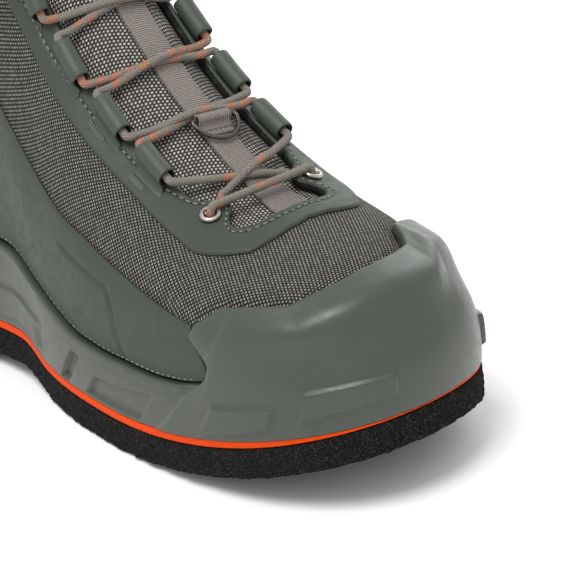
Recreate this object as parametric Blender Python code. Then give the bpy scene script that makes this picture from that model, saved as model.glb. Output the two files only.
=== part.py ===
"""Wading boot for the right foot, felt soled, as separate solids in metres with +Z up.

+X is the wearer's right, the lateral side, and +Y points to the toe. The origin is on the floor,
under the middle of the heel tread. The foot's own shape comes from one skin function: skin(w, v)
is the outer face of the upper. w runs once round the boot, 0 at the heel, 1 at the toe and 2 at
the heel again, lateral side first. v runs up a meridian, 0 at the sole and 1 at the collar or the
throat. The upper, the moulded rand and every overlay are cut from that skin.
"""

import math

import bmesh
import bpy
import numpy as np

# Driving sizes of the boot, in metres
LENGTH = 0.312
BALL_WIDTH = 0.1155
INSTEP_HEIGHT = 0.087
COLLAR_HEIGHT = 0.190
COLLAR_WIDTH = 0.075
COLLAR_FRONT = 0.099
THROAT_WIDTH = 0.048
THROAT_SHIFT = -0.0065
HEEL_CENTRE = 0.045

# Sole
FELT_THICK = 0.012
STRIPE_THICK = 0.0035
STRIPE_INSET = 0.0004
MIDSOLE_THICK = 0.005
HEEL_LIFT = 0.009
TOE_SPRING = 0.022
ARCH_RISE = 0.005
HEEL_KICK = 0.003
FEATHER_INSET = 0.0065

# Upper, rand and overlays
GAP = 0.0003
TUCK = 0.0007
OVERLAY_CLEAR = 0.0006
FLOOR_CLEAR = 0.0010
WALL = 0.0020
COLLAR_PAD = 0.0045
RAND_LIP = 0.0027
RAND_BASE_BULGE = 0.0058
RAND_BULGE_EASE = 0.6
BLOCK_STEP = 0.0012
OVERLAY_THICK = 0.0011
INSOLE_THICK = 0.004
INSOLE_CLEAR = 0.0018
INSOLE_COLUMNS = 29
OVERLAY_TOP = OVERLAY_CLEAR + OVERLAY_THICK + GAP

# Tongue and its trim
TONGUE_THICK = 0.0045
TONGUE_CLEAR = 0.0008
TONGUE_REACH = 0.022
WEBBING_WIDTH = 0.013
WEBBING_THICK = 0.0012
TAB_LENGTH = 0.0045
RING_WIDTH = 0.020
RING_DEPTH = 0.0105
RING_WIRE = 0.0018

# Lacing
LACE_THICK = 0.0034
LOOP_BORE = 0.0052
LOOP_WALL = 0.0014
LOOP_LENGTH = 0.0165
LOOP_TAIL = 0.009
LOOP_TOE_IN = math.radians(5)
EYELET_BORE = 0.0046
EYELET_BARREL = 0.0007
EYELET_FLANGE = 0.0042
EYELET_RIM = 0.0012
EYELET_CLEAR = 0.0003

# Sole outline, a row for each point: across in half ball widths, along in boot lengths
OUTLINE = (
    (0.000, 0.000),
    (0.745, 0.154),
    (0.797, 0.349),
    (0.935, 0.478),
    (1.013, 0.651),
    (0.984, 0.772),
    (0.807, 0.901),
    (0.398, 0.987),
    (-0.145, 1.000),
    (-0.641, 0.955),
    (-0.900, 0.869),
    (-0.987, 0.721),
    (-0.797, 0.513),
    (-0.623, 0.353),
    (-0.727, 0.154),
)

# Collar edge: round, along in collar fronts, height and both half widths in collar sizes
COLLAR = (
    (0.00, 0.080, 0.980, 0.00, 0.00),
    (0.10, 0.120, 0.984, 0.45, -0.45),
    (0.20, 0.290, 0.995, 0.83, -0.83),
    (0.30, 0.560, 1.021, 0.99, -1.01),
    (0.40, 0.848, 1.047, 0.85, -0.99),
    (0.46, 1.000, 1.021, 0.61, -0.88),
)

# Throat edge: round, along from the collar front to the throat's end, height from the instep to
# the collar, half width in half throat widths
THROAT = (
    (0.50, 0.114, 0.767, 1.00),
    (0.55, 0.281, 0.495, 1.00),
    (0.60, 0.449, 0.301, 1.00),
    (0.66, 0.631, 0.150, 1.00),
    (0.72, 0.799, 0.044, 0.98),
    (0.80, 0.935, 0.000, 0.75),
    (0.90, 0.989, 0.010, 0.32),
    (1.00, 1.000, 0.015, 0.00),
)
THROAT_END = 0.739

# Meridians: round, bulge and rise of the lower half, then bulge on each side and drop of the
# upper half. Bulges are in half ball widths, rise and drop in heights of that meridian.
FLESH = (
    (0.00, 0.16, 0.30, -0.27, -0.27, 0.34),
    (0.20, 0.12, 0.30, -0.20, -0.20, 0.35),
    (0.40, 0.07, 0.28, 0.04, 0.04, 0.34),
    (0.50, 0.05, 0.30, 0.35, 0.32, 0.28),
    (0.60, 0.05, 0.38, 0.47, 0.39, 0.22),
    (0.72, 0.05, 0.53, 0.55, 0.42, 0.17),
    (0.85, 0.10, 0.78, 0.66, 0.54, 0.14),
    (1.00, 0.13, 0.90, 0.73, 0.73, 0.16),
)

# Rand's top edge: base of the column, then where its top lies (round, up) on each side
RAND_EDGE = (
    (0.000, 0.000, 0.300, 0.000, 0.300),
    (0.060, 0.060, 0.300, 0.060, 0.300),
    (0.120, 0.120, 0.295, 0.120, 0.295),
    (0.180, 0.180, 0.285, 0.180, 0.285),
    (0.250, 0.250, 0.268, 0.250, 0.268),
    (0.320, 0.320, 0.245, 0.320, 0.245),
    (0.390, 0.390, 0.222, 0.390, 0.222),
    (0.450, 0.450, 0.200, 0.450, 0.200),
    (0.502, 0.502, 0.182, 0.502, 0.182),
    (0.530, 0.530, 0.168, 0.530, 0.168),
    (0.570, 0.570, 0.174, 0.570, 0.174),
    (0.610, 0.610, 0.182, 0.610, 0.182),
    (0.650, 0.650, 0.178, 0.650, 0.178),
    (0.680, 0.685, 0.182, 0.685, 0.182),
    (0.700, 0.718, 0.195, 0.718, 0.195),
    (0.715, 0.742, 0.255, 0.742, 0.255),
    (0.730, 0.725, 0.385, 0.725, 0.385),
    (0.745, 0.742, 0.440, 0.742, 0.440),
    (0.775, 0.778, 0.495, 0.775, 0.500),
    (0.795, 0.790, 0.515, 0.800, 0.530),
    (0.820, 0.817, 0.500, 0.825, 0.560),
    (0.850, 0.850, 0.478, 0.855, 0.590),
    (0.873, 0.873, 0.457, 0.880, 0.615),
    (0.900, 0.900, 0.478, 0.900, 0.625),
    (0.920, 0.920, 0.490, 0.915, 0.570),
    (0.940, 0.940, 0.504, 0.930, 0.530),
    (0.970, 0.970, 0.524, 0.965, 0.530),
    (1.000, 1.000, 0.533, 1.000, 0.533),
)

# Shares of the height or the round at which the blocks are bevelled and their slant fades out
BLOCK_BEVEL = 0.006
BLOCK_FADE = 0.04

# Raised blocks of the rand's side, from and to, on each side
BLOCKS_LATERAL = (
    (0.060, 0.150), (0.210, 0.300), (0.360, 0.450), (0.552, 0.634), (0.724, 0.806), (0.847, 0.960),
)
BLOCKS_MEDIAL = ((0.060, 0.150), (0.210, 0.300), (0.360, 0.450), (0.552, 0.634), (0.700, 0.847))
BLOCK_LOW = 0.035
BLOCK_HIGH = 0.125
BLOCK_EDGE = 0.008
BLOCK_SLANT = 0.010

# Edges on the skin, as rows of round and up. The throat edge runs past 1 in the eyelets' lobes.
THROAT_TRIM = (
    (0.46, 1.000),
    (0.60, 1.000),
    (0.70, 0.995),
    (0.728, 1.000),
    (0.745, 1.045),
    (0.765, 1.065),
    (0.783, 1.040),
    (0.798, 0.970),
    (0.815, 0.930),
    (0.850, 0.920),
    (0.890, 0.938),
    (0.940, 0.962),
    (1.000, 0.968),
)
EYESTAY_EDGE = (
    (0.46, 0.860),
    (0.55, 0.835),
    (0.60, 0.830),
    (0.652, 0.835),
    (0.685, 0.825),
    (0.725, 0.812),
    (0.756, 0.778),
    (0.810, 0.785),
    (0.855, 0.785),
    (0.890, 0.820),
    (0.940, 0.868),
    (1.000, 0.890),
)
QUARTER_EDGE = (
    (0.00, 0.740),
    (0.15, 0.730),
    (0.30, 0.690),
    (0.40, 0.620),
    (0.47, 0.550),
    (0.547, 0.508),
    (0.585, 0.518),
    (0.633, 0.500),
    (0.677, 0.470),
    (0.722, 0.432),
)

QUARTER_TIP = 0.715

# Tongue: round, up of its hidden side, up of the edge it shows at, bow of its arch, strap's middle
TONGUE = (
    (0.48, 0.88, 1.00, 0.45, 0.50),
    (0.55, 0.88, 1.00, 0.45, 0.54),
    (0.69, 0.86, 1.00, 0.45, 0.56),
    (0.74, 0.86, 0.97, 0.42, 0.60),
    (0.77, 0.84, 0.93, 0.30, 0.62),
    (0.80, 0.82, 0.89, 0.20, 0.62),
    (0.84, 0.78, 0.85, 0.10, 0.62),
)
TONGUE_ROUND, TONGUE_SIDE, TONGUE_OPEN, TONGUE_BOW, STRAP_MIDDLE = zip(*TONGUE)
TONGUE_ROWS = (0.84, 0.815, 0.79, 0.765, 0.74, 0.715, 0.69, 0.66, 0.63, 0.60, 0.575, 0.55, 0.525, 0.50, 0.48)
TONGUE_TAPER = 0.28
TAB_ROW = 0.659
TAB_WALL = 0.0009
TAB_SHARE = 1.12

# Where the lace hardware stands: round the throat, and up the skin
LOOP_ROWS = (0.512, 0.560, 0.611, 0.672)
LOOP_UP = 0.985
EYELET_ROWS = (0.473, 0.762)
EYELET_UP = (0.940, 0.970)
TAIL_DROP = 0.0002
LOOP_SEAT = 0.0006

# Lace path: starts under the throat's end, steps past the loops, and lifts in lace thicknesses
UNDER_ROW = 0.745
UNDER_START = (0.24, 0.86)
UNDER_LIFT = 0.75
UNDER_WAY = np.array([0, 0.3, 1.0])
MOUTH_LIFT = 0.9
MOUTH_INWARD = 0.0006
LACE_CLEAR = 0.0006
LACE_FADE = 0.36
BAR_RISE = 0.014
UNDER_STEP = 0.014
LOOP_STEP = 0.016

# How finely each form is cut into faces
STRAP_ANGLES = (120, 80, 40, 0, -40, -80)
LACE_POINTS = 9
LACE_SIDES = 6
EYELET_SIDES = 12
RING_SIDES = 8
RING_TURNS = 11
RAND_STEP = 0.0078
RAND_BETWEEN = (0.03, 0.09, 0.15, 0.215, 0.285, 0.355, 0.42, 0.475)


def spline(knots, values, period):
    """A smooth closed curve through rows, as a function of the parameter."""
    knot = np.asarray(knots, float)
    value = np.asarray(values, float)
    count = len(knot)
    span = np.diff(np.r_[knot, knot[0] + period])
    slope = (np.roll(value, -1, 0) - value) / span[:, None]
    system = np.zeros((count, count))
    for i in range(count):
        system[i, i - 1] += span[i - 1]
        system[i, i] += 2 * (span[i - 1] + span[i])
        system[i, (i + 1) % count] += span[i]
    bend = np.linalg.solve(system, 6 * (slope - np.roll(slope, 1, 0)))

    def at(t):
        t = (np.asarray(t, float) - knot[0]) % period + knot[0]
        i = np.clip(np.searchsorted(knot, t, side="right") - 1, 0, count - 1)
        j = (i + 1) % count
        a = ((knot[i] + span[i] - t) / span[i])[..., None]
        b = 1 - a
        cube = (span[i] ** 2)[..., None] / 6
        return a * value[i] + b * value[j] + ((a**3 - a) * bend[i] + (b**3 - b) * bend[j]) * cube

    return at


def smooth(low, high, value):
    """Smooth step from 0 at low to 1 at high."""
    t = np.clip((value - low) / (high - low), 0, 1)
    return t * t * (3 - 2 * t)


def outline(inset):
    """Dense plan outline of the sole, moved inwards, with its outward normals."""
    point = np.array(OUTLINE) * (BALL_WIDTH / 2, LENGTH)
    step = np.sqrt(np.linalg.norm(np.roll(point, -1, 0) - point, axis=1))
    knot = np.r_[0, np.cumsum(step)]
    dense = spline(knot[:-1], point, knot[-1])(np.linspace(0, knot[-1], 1600, endpoint=False))
    run = np.roll(dense, -1, 0) - np.roll(dense, 1, 0)
    run /= np.linalg.norm(run, axis=1)[:, None]
    normal = np.c_[run[:, 1], -run[:, 0]]
    return dense - inset * normal, normal


def outline_at(w, inset):
    """Point and normal of the inset outline at w. Both sides have the same y at the same u."""
    w = np.asarray(w, float) % 2
    u = np.where(w <= 1, w, 2 - w)
    point, normal = outline(inset)
    low, high = point[:, 1].argmin(), point[:, 1].argmax()
    count = len(point)
    lateral = np.arange(low, low + (high - low) % count + 1) % count
    medial = (np.arange(high, high + (low - high) % count + 1) % count)[::-1]
    y = point[low, 1] + (point[high, 1] - point[low, 1]) * (1 - np.cos(np.pi * u)) / 2
    sides = []
    for index in (lateral, medial):
        along = np.maximum.accumulate(point[index, 1]) + np.arange(len(index)) * 1e-12
        columns = (point[index, 0], normal[index, 0], normal[index, 1])
        sides.append([np.interp(y, along, column) for column in columns])
    x, nx, ny = (np.where(w <= 1, a, b) for a, b in zip(*sides))
    size = np.hypot(nx, ny)
    return np.stack([x, y], -1), np.stack([nx / size, ny / size, 0 * nx], -1)


def toe_spring(y):
    """Rise of the sole towards the toe."""
    return TOE_SPRING * np.clip((np.asarray(y) / LENGTH - 0.61) / 0.39, 0, 1.3) ** 1.8


def ground(y):
    """Height of the tread: flat at the heel and the forefoot, with an arch and a toe spring."""
    share = np.asarray(y) / LENGTH
    arch = ARCH_RISE * smooth(0.245, 0.295, share) * (1 - smooth(0.36, 0.44, share))
    kick = HEEL_KICK * np.clip((0.045 - share) / 0.045, 0, 1.5) ** 2
    return toe_spring(y) + arch + kick


def sole_top(y):
    """Height of the stripe's top, where the rand starts."""
    return ground(y) + FELT_THICK + STRIPE_THICK + 2 * GAP


def floor_top(y):
    """Height of the midsole's floor, thicker under the heel and flat over the arch."""
    lift = HEEL_LIFT * (1 - smooth(0.22, 0.62, np.asarray(y) / LENGTH))
    return toe_spring(y) + FELT_THICK + STRIPE_THICK + 2 * GAP + MIDSOLE_THICK + lift


def round_rows(rows, cells):
    """Closed spline through table rows, once along the lateral and once along the medial side."""
    there = [(row[0], cells(row, 1)) for row in rows]
    back = [(2 - row[0], cells(row, -1)) for row in rows[-2:0:-1]]
    knots, values = zip(*(there + back))
    return spline(knots, values, 2.0)


def edge_rows():
    """Collar and throat tables as points of the top edge."""
    rows = []
    for around, along, height, lateral, medial in COLLAR:
        across = (lateral * COLLAR_WIDTH / 2, medial * COLLAR_WIDTH / 2)
        rows.append((around, across, along * COLLAR_FRONT, height * COLLAR_HEIGHT))
    for around, along, rise, half in THROAT:
        reach = half * THROAT_WIDTH / 2
        across = (THROAT_SHIFT + reach, THROAT_SHIFT - reach)
        y = COLLAR_FRONT + along * (THROAT_END * LENGTH - COLLAR_FRONT)
        rows.append((around, across, y, INSTEP_HEIGHT + rise * (COLLAR_HEIGHT - INSTEP_HEIGHT)))
    return rows


TOP_EDGE = round_rows(edge_rows(), lambda row, side: (row[1][side < 0], row[2], row[3]))
FLESH_AT = round_rows(FLESH, lambda row, side: (row[1], row[2], row[3] if side > 0 else row[4], row[5]))


def skin(w, v):
    """Outer face of the upper."""
    w, v = np.broadcast_arrays(np.asarray(w, float), np.asarray(v, float))
    plan, out = outline_at(w, FEATHER_INSET)
    foot = np.concatenate([plan, sole_top(plan[..., 1])[..., None]], -1)
    top = TOP_EDGE(w)
    tall = (top - foot)[..., 2:]
    low_bulge, rise, high_bulge, drop = np.moveaxis(FLESH_AT(w)[..., None], -2, 0)
    up = np.array([0, 0, 1.0])
    low = foot + low_bulge * BALL_WIDTH / 2 * out + rise * tall * up
    high = top + high_bulge * BALL_WIDTH / 2 * out - drop * tall * up
    v = v[..., None]
    a = 1 - v
    return a**3 * foot + 3 * a * a * v * low + 3 * a * v * v * high + v**3 * top


def skin_normal(w, v):
    """Outward unit normal of the skin."""
    step = 1e-3
    across = skin(w + step, v) - skin(w - step, v)
    upward = skin(w, v + step) - skin(w, v - step)
    normal = np.cross(across, upward)
    return normal / np.linalg.norm(normal, axis=-1)[..., None]


def lifted(w, v, lift):
    """Point at a height over the skin, below it where lift is negative."""
    w, v, lift = np.broadcast_arrays(*(np.asarray(value, float) for value in (w, v, lift)))
    return skin(w, v) + skin_normal(w, v) * lift[..., None]


def side_table(rows, w):
    """Linear reading of rows of round and up, the same on both sides."""
    w = np.asarray(w, float) % 2
    u = np.where(w <= 1, w, 2 - w)
    around, up = zip(*rows)
    return np.interp(u, around, up)


def up_at_height(w, height):
    """v at which each meridian passes a height."""
    level = np.linspace(0, 0.5, 121)
    z = skin(np.asarray(w)[:, None], level)[..., 2]
    return np.array([np.interp(h, row, level) for h, row in zip(height, z)])


def material(name, color, roughness, metallic=0.0):
    """A finish with its colour and roughness."""
    made = bpy.data.materials.new(name)
    made.use_nodes = True
    shader = made.node_tree.nodes["Principled BSDF"]
    shader.inputs["Base Color"].default_value = (*color, 1)
    shader.inputs["Roughness"].default_value = roughness
    shader.inputs["Metallic"].default_value = metallic
    return made


def add_solid(name, points, faces, finish):
    """Mesh object from points in boot coordinates, whose y is counted from the heel's back."""
    mesh = bpy.data.meshes.new(name)
    placed = np.asarray(points, float).reshape(-1, 3) - (0, HEEL_CENTRE, 0)
    mesh.from_pydata(placed.tolist(), [], faces)
    work = bmesh.new()
    work.from_mesh(mesh)
    bmesh.ops.recalc_face_normals(work, faces=work.faces)
    work.to_mesh(mesh)
    work.free()
    mesh.materials.append(finish)
    mesh.shade_smooth()
    mesh.set_sharp_from_angle(angle=math.radians(40))
    made = bpy.data.objects.new(name, mesh)
    bpy.context.scene.collection.objects.link(made)
    return made


def grid_faces(rows, cols, start, closed):
    """Quads of a grid whose points are numbered row by row."""
    faces = []
    for r in range(rows - 1):
        for c in range(cols if closed else cols - 1):
            d = (c + 1) % cols
            low, high = start + r * cols, start + (r + 1) * cols
            faces.append((low + c, low + d, high + d, high + c))
    return faces


def wall_solid(name, outer, inner, closed, finish):
    """Closed solid between two grids of the same shape, a row for each height."""
    rows, cols = outer.shape[:2]
    size = rows * cols
    faces = grid_faces(rows, cols, 0, closed) + grid_faces(rows, cols, size, closed)
    for r in (0, rows - 1):
        for c in range(cols if closed else cols - 1):
            d = (c + 1) % cols
            faces.append((r * cols + c, r * cols + d, size + r * cols + d, size + r * cols + c))
    if not closed:
        for c in (0, cols - 1):
            for r in range(rows - 1):
                low, high = r * cols + c, (r + 1) * cols + c
                faces.append((low, high, size + high, size + low))
    points = np.concatenate([outer.reshape(-1, 3), inner.reshape(-1, 3)])
    return add_solid(name, points, faces, finish)


def strip_levels(low, high, count):
    """Grid of v from one edge to another, a row for each level."""
    share = np.linspace(0, 1, count)[:, None]
    return low + (high - low) * share


def both_sides(columns):
    """Loop parameters of columns that stand at the same u on each side, heel and toe once."""
    lateral = np.asarray(columns, float)
    return np.r_[lateral, 2 - lateral[-2:0:-1]]


def plate(name, inset, bottom, top, finish):
    """Flat layer of the sole's outline, lofted through sections across the foot."""
    u = rand_columns()[1:-1]
    right, _ = outline_at(u, inset)
    left, _ = outline_at(2 - u, inset)
    ends, _ = outline_at(np.array([0.0, 1.0]), inset)
    points = []
    for height in (bottom, top):
        for plan in (right, left, ends):
            points.append(np.c_[plan, height(plan[:, 1])])
    points = np.concatenate(points)
    count = len(u)
    layer = 2 * count + 2
    faces = []
    for base in (0, layer):
        heel, toe = base + 2 * count, base + 2 * count + 1
        faces.append((heel, base, base + count))
        faces.append((toe, base + count - 1, base + 2 * count - 1))
        for i in range(count - 1):
            faces.append((base + i, base + i + 1, base + count + i + 1, base + count + i))
    ring = [2 * count, *range(count), 2 * count + 1, *range(2 * count - 1, count - 1, -1)]
    for a, b in zip(ring, ring[1:] + ring[:1]):
        faces.append((a, b, layer + b, layer + a))
    return add_solid(name, points, faces, finish)


def rand_columns():
    """Bases of the rand's columns: its table's rows, steps between them and the blocks' edges."""
    bases = [row[0] for row in RAND_EDGE] + list(RAND_BETWEEN)
    for start, end in BLOCKS_LATERAL + BLOCKS_MEDIAL:
        bases += [start, start + BLOCK_EDGE, end - BLOCK_EDGE, end]
    bases = np.unique(np.round(bases, 4))
    keep = [bases[0]]
    for base in bases[1:]:
        if base - keep[-1] > RAND_STEP:
            keep.append(base)
    keep[-1] = 1.0
    return np.array(keep)


def rand_top(base, side):
    """Round and up of the rand's top edge over a base column."""
    table = np.array(RAND_EDGE)
    around = np.interp(base, table[:, 0], table[:, 1 if side > 0 else 3])
    up = np.interp(base, table[:, 0], table[:, 2 if side > 0 else 4])
    return around, up


def block_mask(u, side, up):
    """1 on the raised blocks of the rand's side, 0 between them."""
    mask = np.zeros(np.broadcast(u, up).shape)
    slant = BLOCK_SLANT * (up - BLOCK_LOW) / (BLOCK_HIGH - BLOCK_LOW)
    for start, end in BLOCKS_LATERAL if side > 0 else BLOCKS_MEDIAL:
        rise = np.clip((u - start - slant) / BLOCK_EDGE, 0, 1)
        fall = np.clip((end - u + slant) / BLOCK_EDGE, 0, 1)
        mask = np.maximum(mask, np.minimum(rise, fall))
    band = (up > BLOCK_LOW + 1e-6) & (up < BLOCK_HIGH - 1e-6)
    return mask * band


def make_rand(finish):
    """Moulded midsole, side walls and toe cap in one tray, with raised blocks along its side."""
    base = rand_columns()
    low_levels = np.array([BLOCK_LOW, BLOCK_LOW + BLOCK_BEVEL, BLOCK_HIGH - BLOCK_BEVEL, BLOCK_HIGH])
    high_shares = np.array([0.3, 0.62, 0.93, 1.0])
    outer_parts, inner_parts = [], []
    for side in (1, -1):
        around, top = rand_top(base, side)
        low = low_levels[:, None] + 0 * top
        high = BLOCK_HIGH + (top - BLOCK_HIGH) * high_shares[:, None]
        up = np.concatenate([low, high])
        share = np.clip((up - BLOCK_HIGH) / (top - BLOCK_HIGH), 0, 1)
        slant = BLOCK_SLANT * np.clip(low_levels - BLOCK_LOW, 0, 1)[:, None] / (BLOCK_HIGH - BLOCK_LOW)
        u = base + (around - base) * share
        from_ends = np.clip(np.minimum(base, 1 - base) / BLOCK_FADE, 0, 1)
        u[:4] += slant * from_ends
        u[4:] += BLOCK_SLANT * (1 - share[4:]) * from_ends
        w = u if side > 0 else 2 - u
        bulge = RAND_LIP + GAP + (RAND_BASE_BULGE - RAND_LIP) * (1 - up / top) ** RAND_BULGE_EASE
        bulge = bulge + BLOCK_STEP * block_mask(u, side, up)
        outer = lifted(w, up, bulge)
        w_foot = base if side > 0 else 2 - base
        plan, _ = outline_at(w_foot, STRIPE_INSET)
        foot = np.concatenate([plan, sole_top(plan[:, 1])[:, None]], -1)
        outer_parts.append(np.concatenate([foot[None], outer]))
        floor = floor_top(outline_at(w_foot, FEATHER_INSET)[0][:, 1])
        start = up_at_height(w_foot, floor)
        shares = np.array([0, 0.2, 0.4, 0.6, 0.8, 1.0])[:, None]
        v = start + (top - start) * shares
        u = base + (around - base) * np.clip((v - BLOCK_HIGH) / (top - BLOCK_HIGH), 0, 1)
        inner_parts.append(lifted(u if side > 0 else 2 - u, v, GAP))
    outer = np.concatenate([outer_parts[0], outer_parts[1][:, -2:0:-1]], 1)
    inner = np.concatenate([inner_parts[0], inner_parts[1][:, -2:0:-1]], 1)
    rows, cols = outer.shape[:2]
    inner_rows = inner.shape[0]
    size = rows * cols
    faces = grid_faces(rows, cols, 0, True) + grid_faces(inner_rows, cols, size, True)
    for c in range(cols):
        d = (c + 1) % cols
        rim, lip = (rows - 1) * cols, size + (inner_rows - 1) * cols
        faces.append((rim + c, rim + d, lip + d, lip + c))
    for ring in (0, size):
        for j in range(len(base) - 1):
            right, right_next = ring + j, ring + j + 1
            left, left_next = ring + (cols - j) % cols, ring + cols - j - 1
            corners = dict.fromkeys((right, right_next, left_next, left))
            faces.append(tuple(corners))
    points = np.concatenate([outer.reshape(-1, 3), inner.reshape(-1, 3)])
    return add_solid("midsole_rand", points, faces, finish)


def upper_columns():
    """Columns of the upper, closer together at the toe and at the eyelets' lobes."""
    steps = [np.arange(0, 0.46, 0.046), np.array([0.46, 0.49, 0.52, 0.55, 0.58, 0.61, 0.64, 0.67])]
    steps.append(np.array([0.695, 0.712, 0.728, 0.745, 0.765, 0.783, 0.798, 0.815, 0.832, 0.85]))
    steps.append(np.array([0.87, 0.89, 0.912, 0.94, 0.97, 1.0]))
    return np.concatenate(steps)


def make_upper(finish):
    """Hollow upper: one wall from the midsole's floor to the collar and the throat."""
    w = both_sides(upper_columns())
    floor = floor_top(outline_at(w, FEATHER_INSET)[0][:, 1]) + FLOOR_CLEAR
    start = up_at_height(w, floor)
    levels = np.array([0, 0.09, 0.2, 0.32, 0.45, 0.58, 0.71, 0.83, 0.93, 1.0])[:, None]
    top = side_table(THROAT_TRIM, w)
    v = start + (top - start) * levels
    tuck = TUCK * (1 - smooth(rand_top_at(w) + 0.01, rand_top_at(w) + 0.05, v))
    outer = lifted(w, v, -tuck)
    inner = lifted(w, v, -WALL - tuck - collar_pad(w, v))
    inner[0, :, 2] = outer[0, :, 2]
    return wall_solid("upper", outer, inner, True, finish)


def collar_pad(w, v):
    """Padding inside the collar, none at the throat."""
    u = np.where(w % 2 <= 1, w % 2, 2 - w % 2)
    return COLLAR_PAD * smooth(0.60, 0.84, v) * (1 - smooth(0.93, 1.0, v)) * (1 - smooth(0.40, 0.47, u))


def make_eyestay(finish):
    """Overlay round the throat, one strip from the lateral to the medial collar."""
    lateral = upper_columns()
    lateral = lateral[lateral >= 0.46]
    lateral[0] = 0.468
    w = np.r_[lateral, 2 - lateral[-2::-1]]
    low = side_table(EYESTAY_EDGE, w)
    high = side_table(THROAT_TRIM, w)
    v = strip_levels(low, high, 5)
    outer = lifted(w, v, OVERLAY_CLEAR + OVERLAY_THICK)
    inner = lifted(w, v, OVERLAY_CLEAR)
    return wall_solid("eyestay", outer, inner, False, finish)


def rand_top_at(w):
    """Highest v that the rand covers at w, for pieces that end above it."""
    u = np.where(w % 2 <= 1, w % 2, 2 - w % 2)
    table = np.array(RAND_EDGE)
    lateral = np.interp(u, np.maximum.accumulate(table[:, 1]), table[:, 2])
    medial = np.interp(u, np.maximum.accumulate(table[:, 3]), table[:, 4])
    return np.where(w % 2 <= 1, lateral, medial)


def make_quarter(finish):
    """Overlay of the quarters and heel, from the rand's edge up, ending in a point on each side."""
    lateral = upper_columns()
    lateral = lateral[lateral < QUARTER_TIP]
    w = np.r_[2 - lateral[:0:-1], 2 + lateral]
    low = rand_top_at(w) + 0.012
    high = side_table(QUARTER_EDGE, w)
    v = strip_levels(low, high, 8)
    outer = lifted(w, v, OVERLAY_CLEAR + OVERLAY_THICK)
    inner = lifted(w, v, OVERLAY_CLEAR)
    return wall_solid("quarter_panel", outer, inner, False, finish)


def make_insole(finish):
    """Insole on the midsole's floor, clear of the upper's wall."""
    u = np.linspace(0, 1, INSOLE_COLUMNS)
    rows = []
    for height in (0.0, INSOLE_THICK):
        w = both_sides(u)
        y = outline_at(w, FEATHER_INSET)[0][:, 1]
        level = floor_top(y) + 2 * GAP + height
        v = up_at_height(w, level)
        edge = lifted(w, v, -WALL - INSOLE_CLEAR)
        edge[:, 2] = level
        rows.append(edge)
    count = len(u)
    cols = len(rows[0])
    faces = grid_faces(2, cols, 0, True)
    for ring in (0, cols):
        for j in range(count - 1):
            right, right_next = ring + j, ring + j + 1
            left, left_next = ring + (cols - j) % cols, ring + cols - j - 1
            corners = dict.fromkeys((right, right_next, left_next, left))
            faces.append(tuple(corners))
    return add_solid("insole", np.concatenate(rows), faces, finish)


def bezier(a, b, c, d, t):
    """Cubic curve from a to d, drawn towards b and c."""
    s = 1 - t
    return s**3 * a + 3 * s * s * t * b + 3 * s * t * t * c + t**3 * d


def tongue_arch(around, t):
    """Outer face of the tongue between the throat's edges, t from the lateral to the medial one."""
    around = np.asarray(around, float)
    edge = np.interp(around, TONGUE_ROUND, TONGUE_OPEN)
    bow = np.interp(around, TONGUE_ROUND, TONGUE_BOW)[..., None]
    under = -WALL - TONGUE_CLEAR
    step = 1e-3
    ends = []
    for w in (around, 2 - around):
        run = skin(w, edge + step) - skin(w, edge - step)
        ends.append((lifted(w, edge, under), run / np.linalg.norm(run, axis=-1)[..., None]))
    (right, right_run), (left, left_run) = ends
    wide = np.linalg.norm(left - right, axis=-1)[..., None]
    t = np.asarray(t, float)[..., None]
    return bezier(right, right + right_run * bow * wide, left + left_run * bow * wide, left, t)


def tongue_face(across):
    """Rows of the tongue's outer face: hidden side strips, the arch, and the part over the collar."""
    rows = []
    for around in TONGUE_ROWS:
        side = np.interp(around, TONGUE_ROUND, TONGUE_SIDE)
        edge = np.interp(around, TONGUE_ROUND, TONGUE_OPEN)
        v = np.array([side, (side + edge) / 2])
        under = -WALL - TONGUE_CLEAR - collar_pad(np.full(2, around), v)
        right = lifted(around, v, under)
        left = lifted(2 - around, v[::-1], under[::-1])
        rows.append(np.concatenate([right, tongue_arch(np.full(len(across), around), across), left]))
    face = np.array(rows)
    climb = face[-1] - face[-2]
    climb = (climb / np.linalg.norm(climb, axis=1)[:, None]).mean(0)
    squeeze = np.linspace(0, 1, 5)[1:, None, None]
    middle = face[-1].mean(0)
    narrow = middle + (face[-1] - middle) * (1 - TONGUE_TAPER * squeeze**2)
    return np.concatenate([face, narrow + climb * TONGUE_REACH * squeeze])


def face_normals(face):
    """Outward normals of a face whose rows climb and whose columns run to the medial side."""
    normal = np.cross(np.gradient(face, axis=1), np.gradient(face, axis=0))
    normal /= np.linalg.norm(normal, axis=-1)[..., None]
    return normal * np.sign(normal[5, normal.shape[1] // 2, 2])


def make_tongue(finish):
    """Padded tongue under the throat, tucked below the vamp and standing over the collar."""
    outer = tongue_face(np.array([0, 0.16, 0.33, 0.5, 0.67, 0.84, 1.0]))
    inner = outer - face_normals(outer) * TONGUE_THICK
    return wall_solid("tongue", outer, inner, False, finish)


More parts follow.
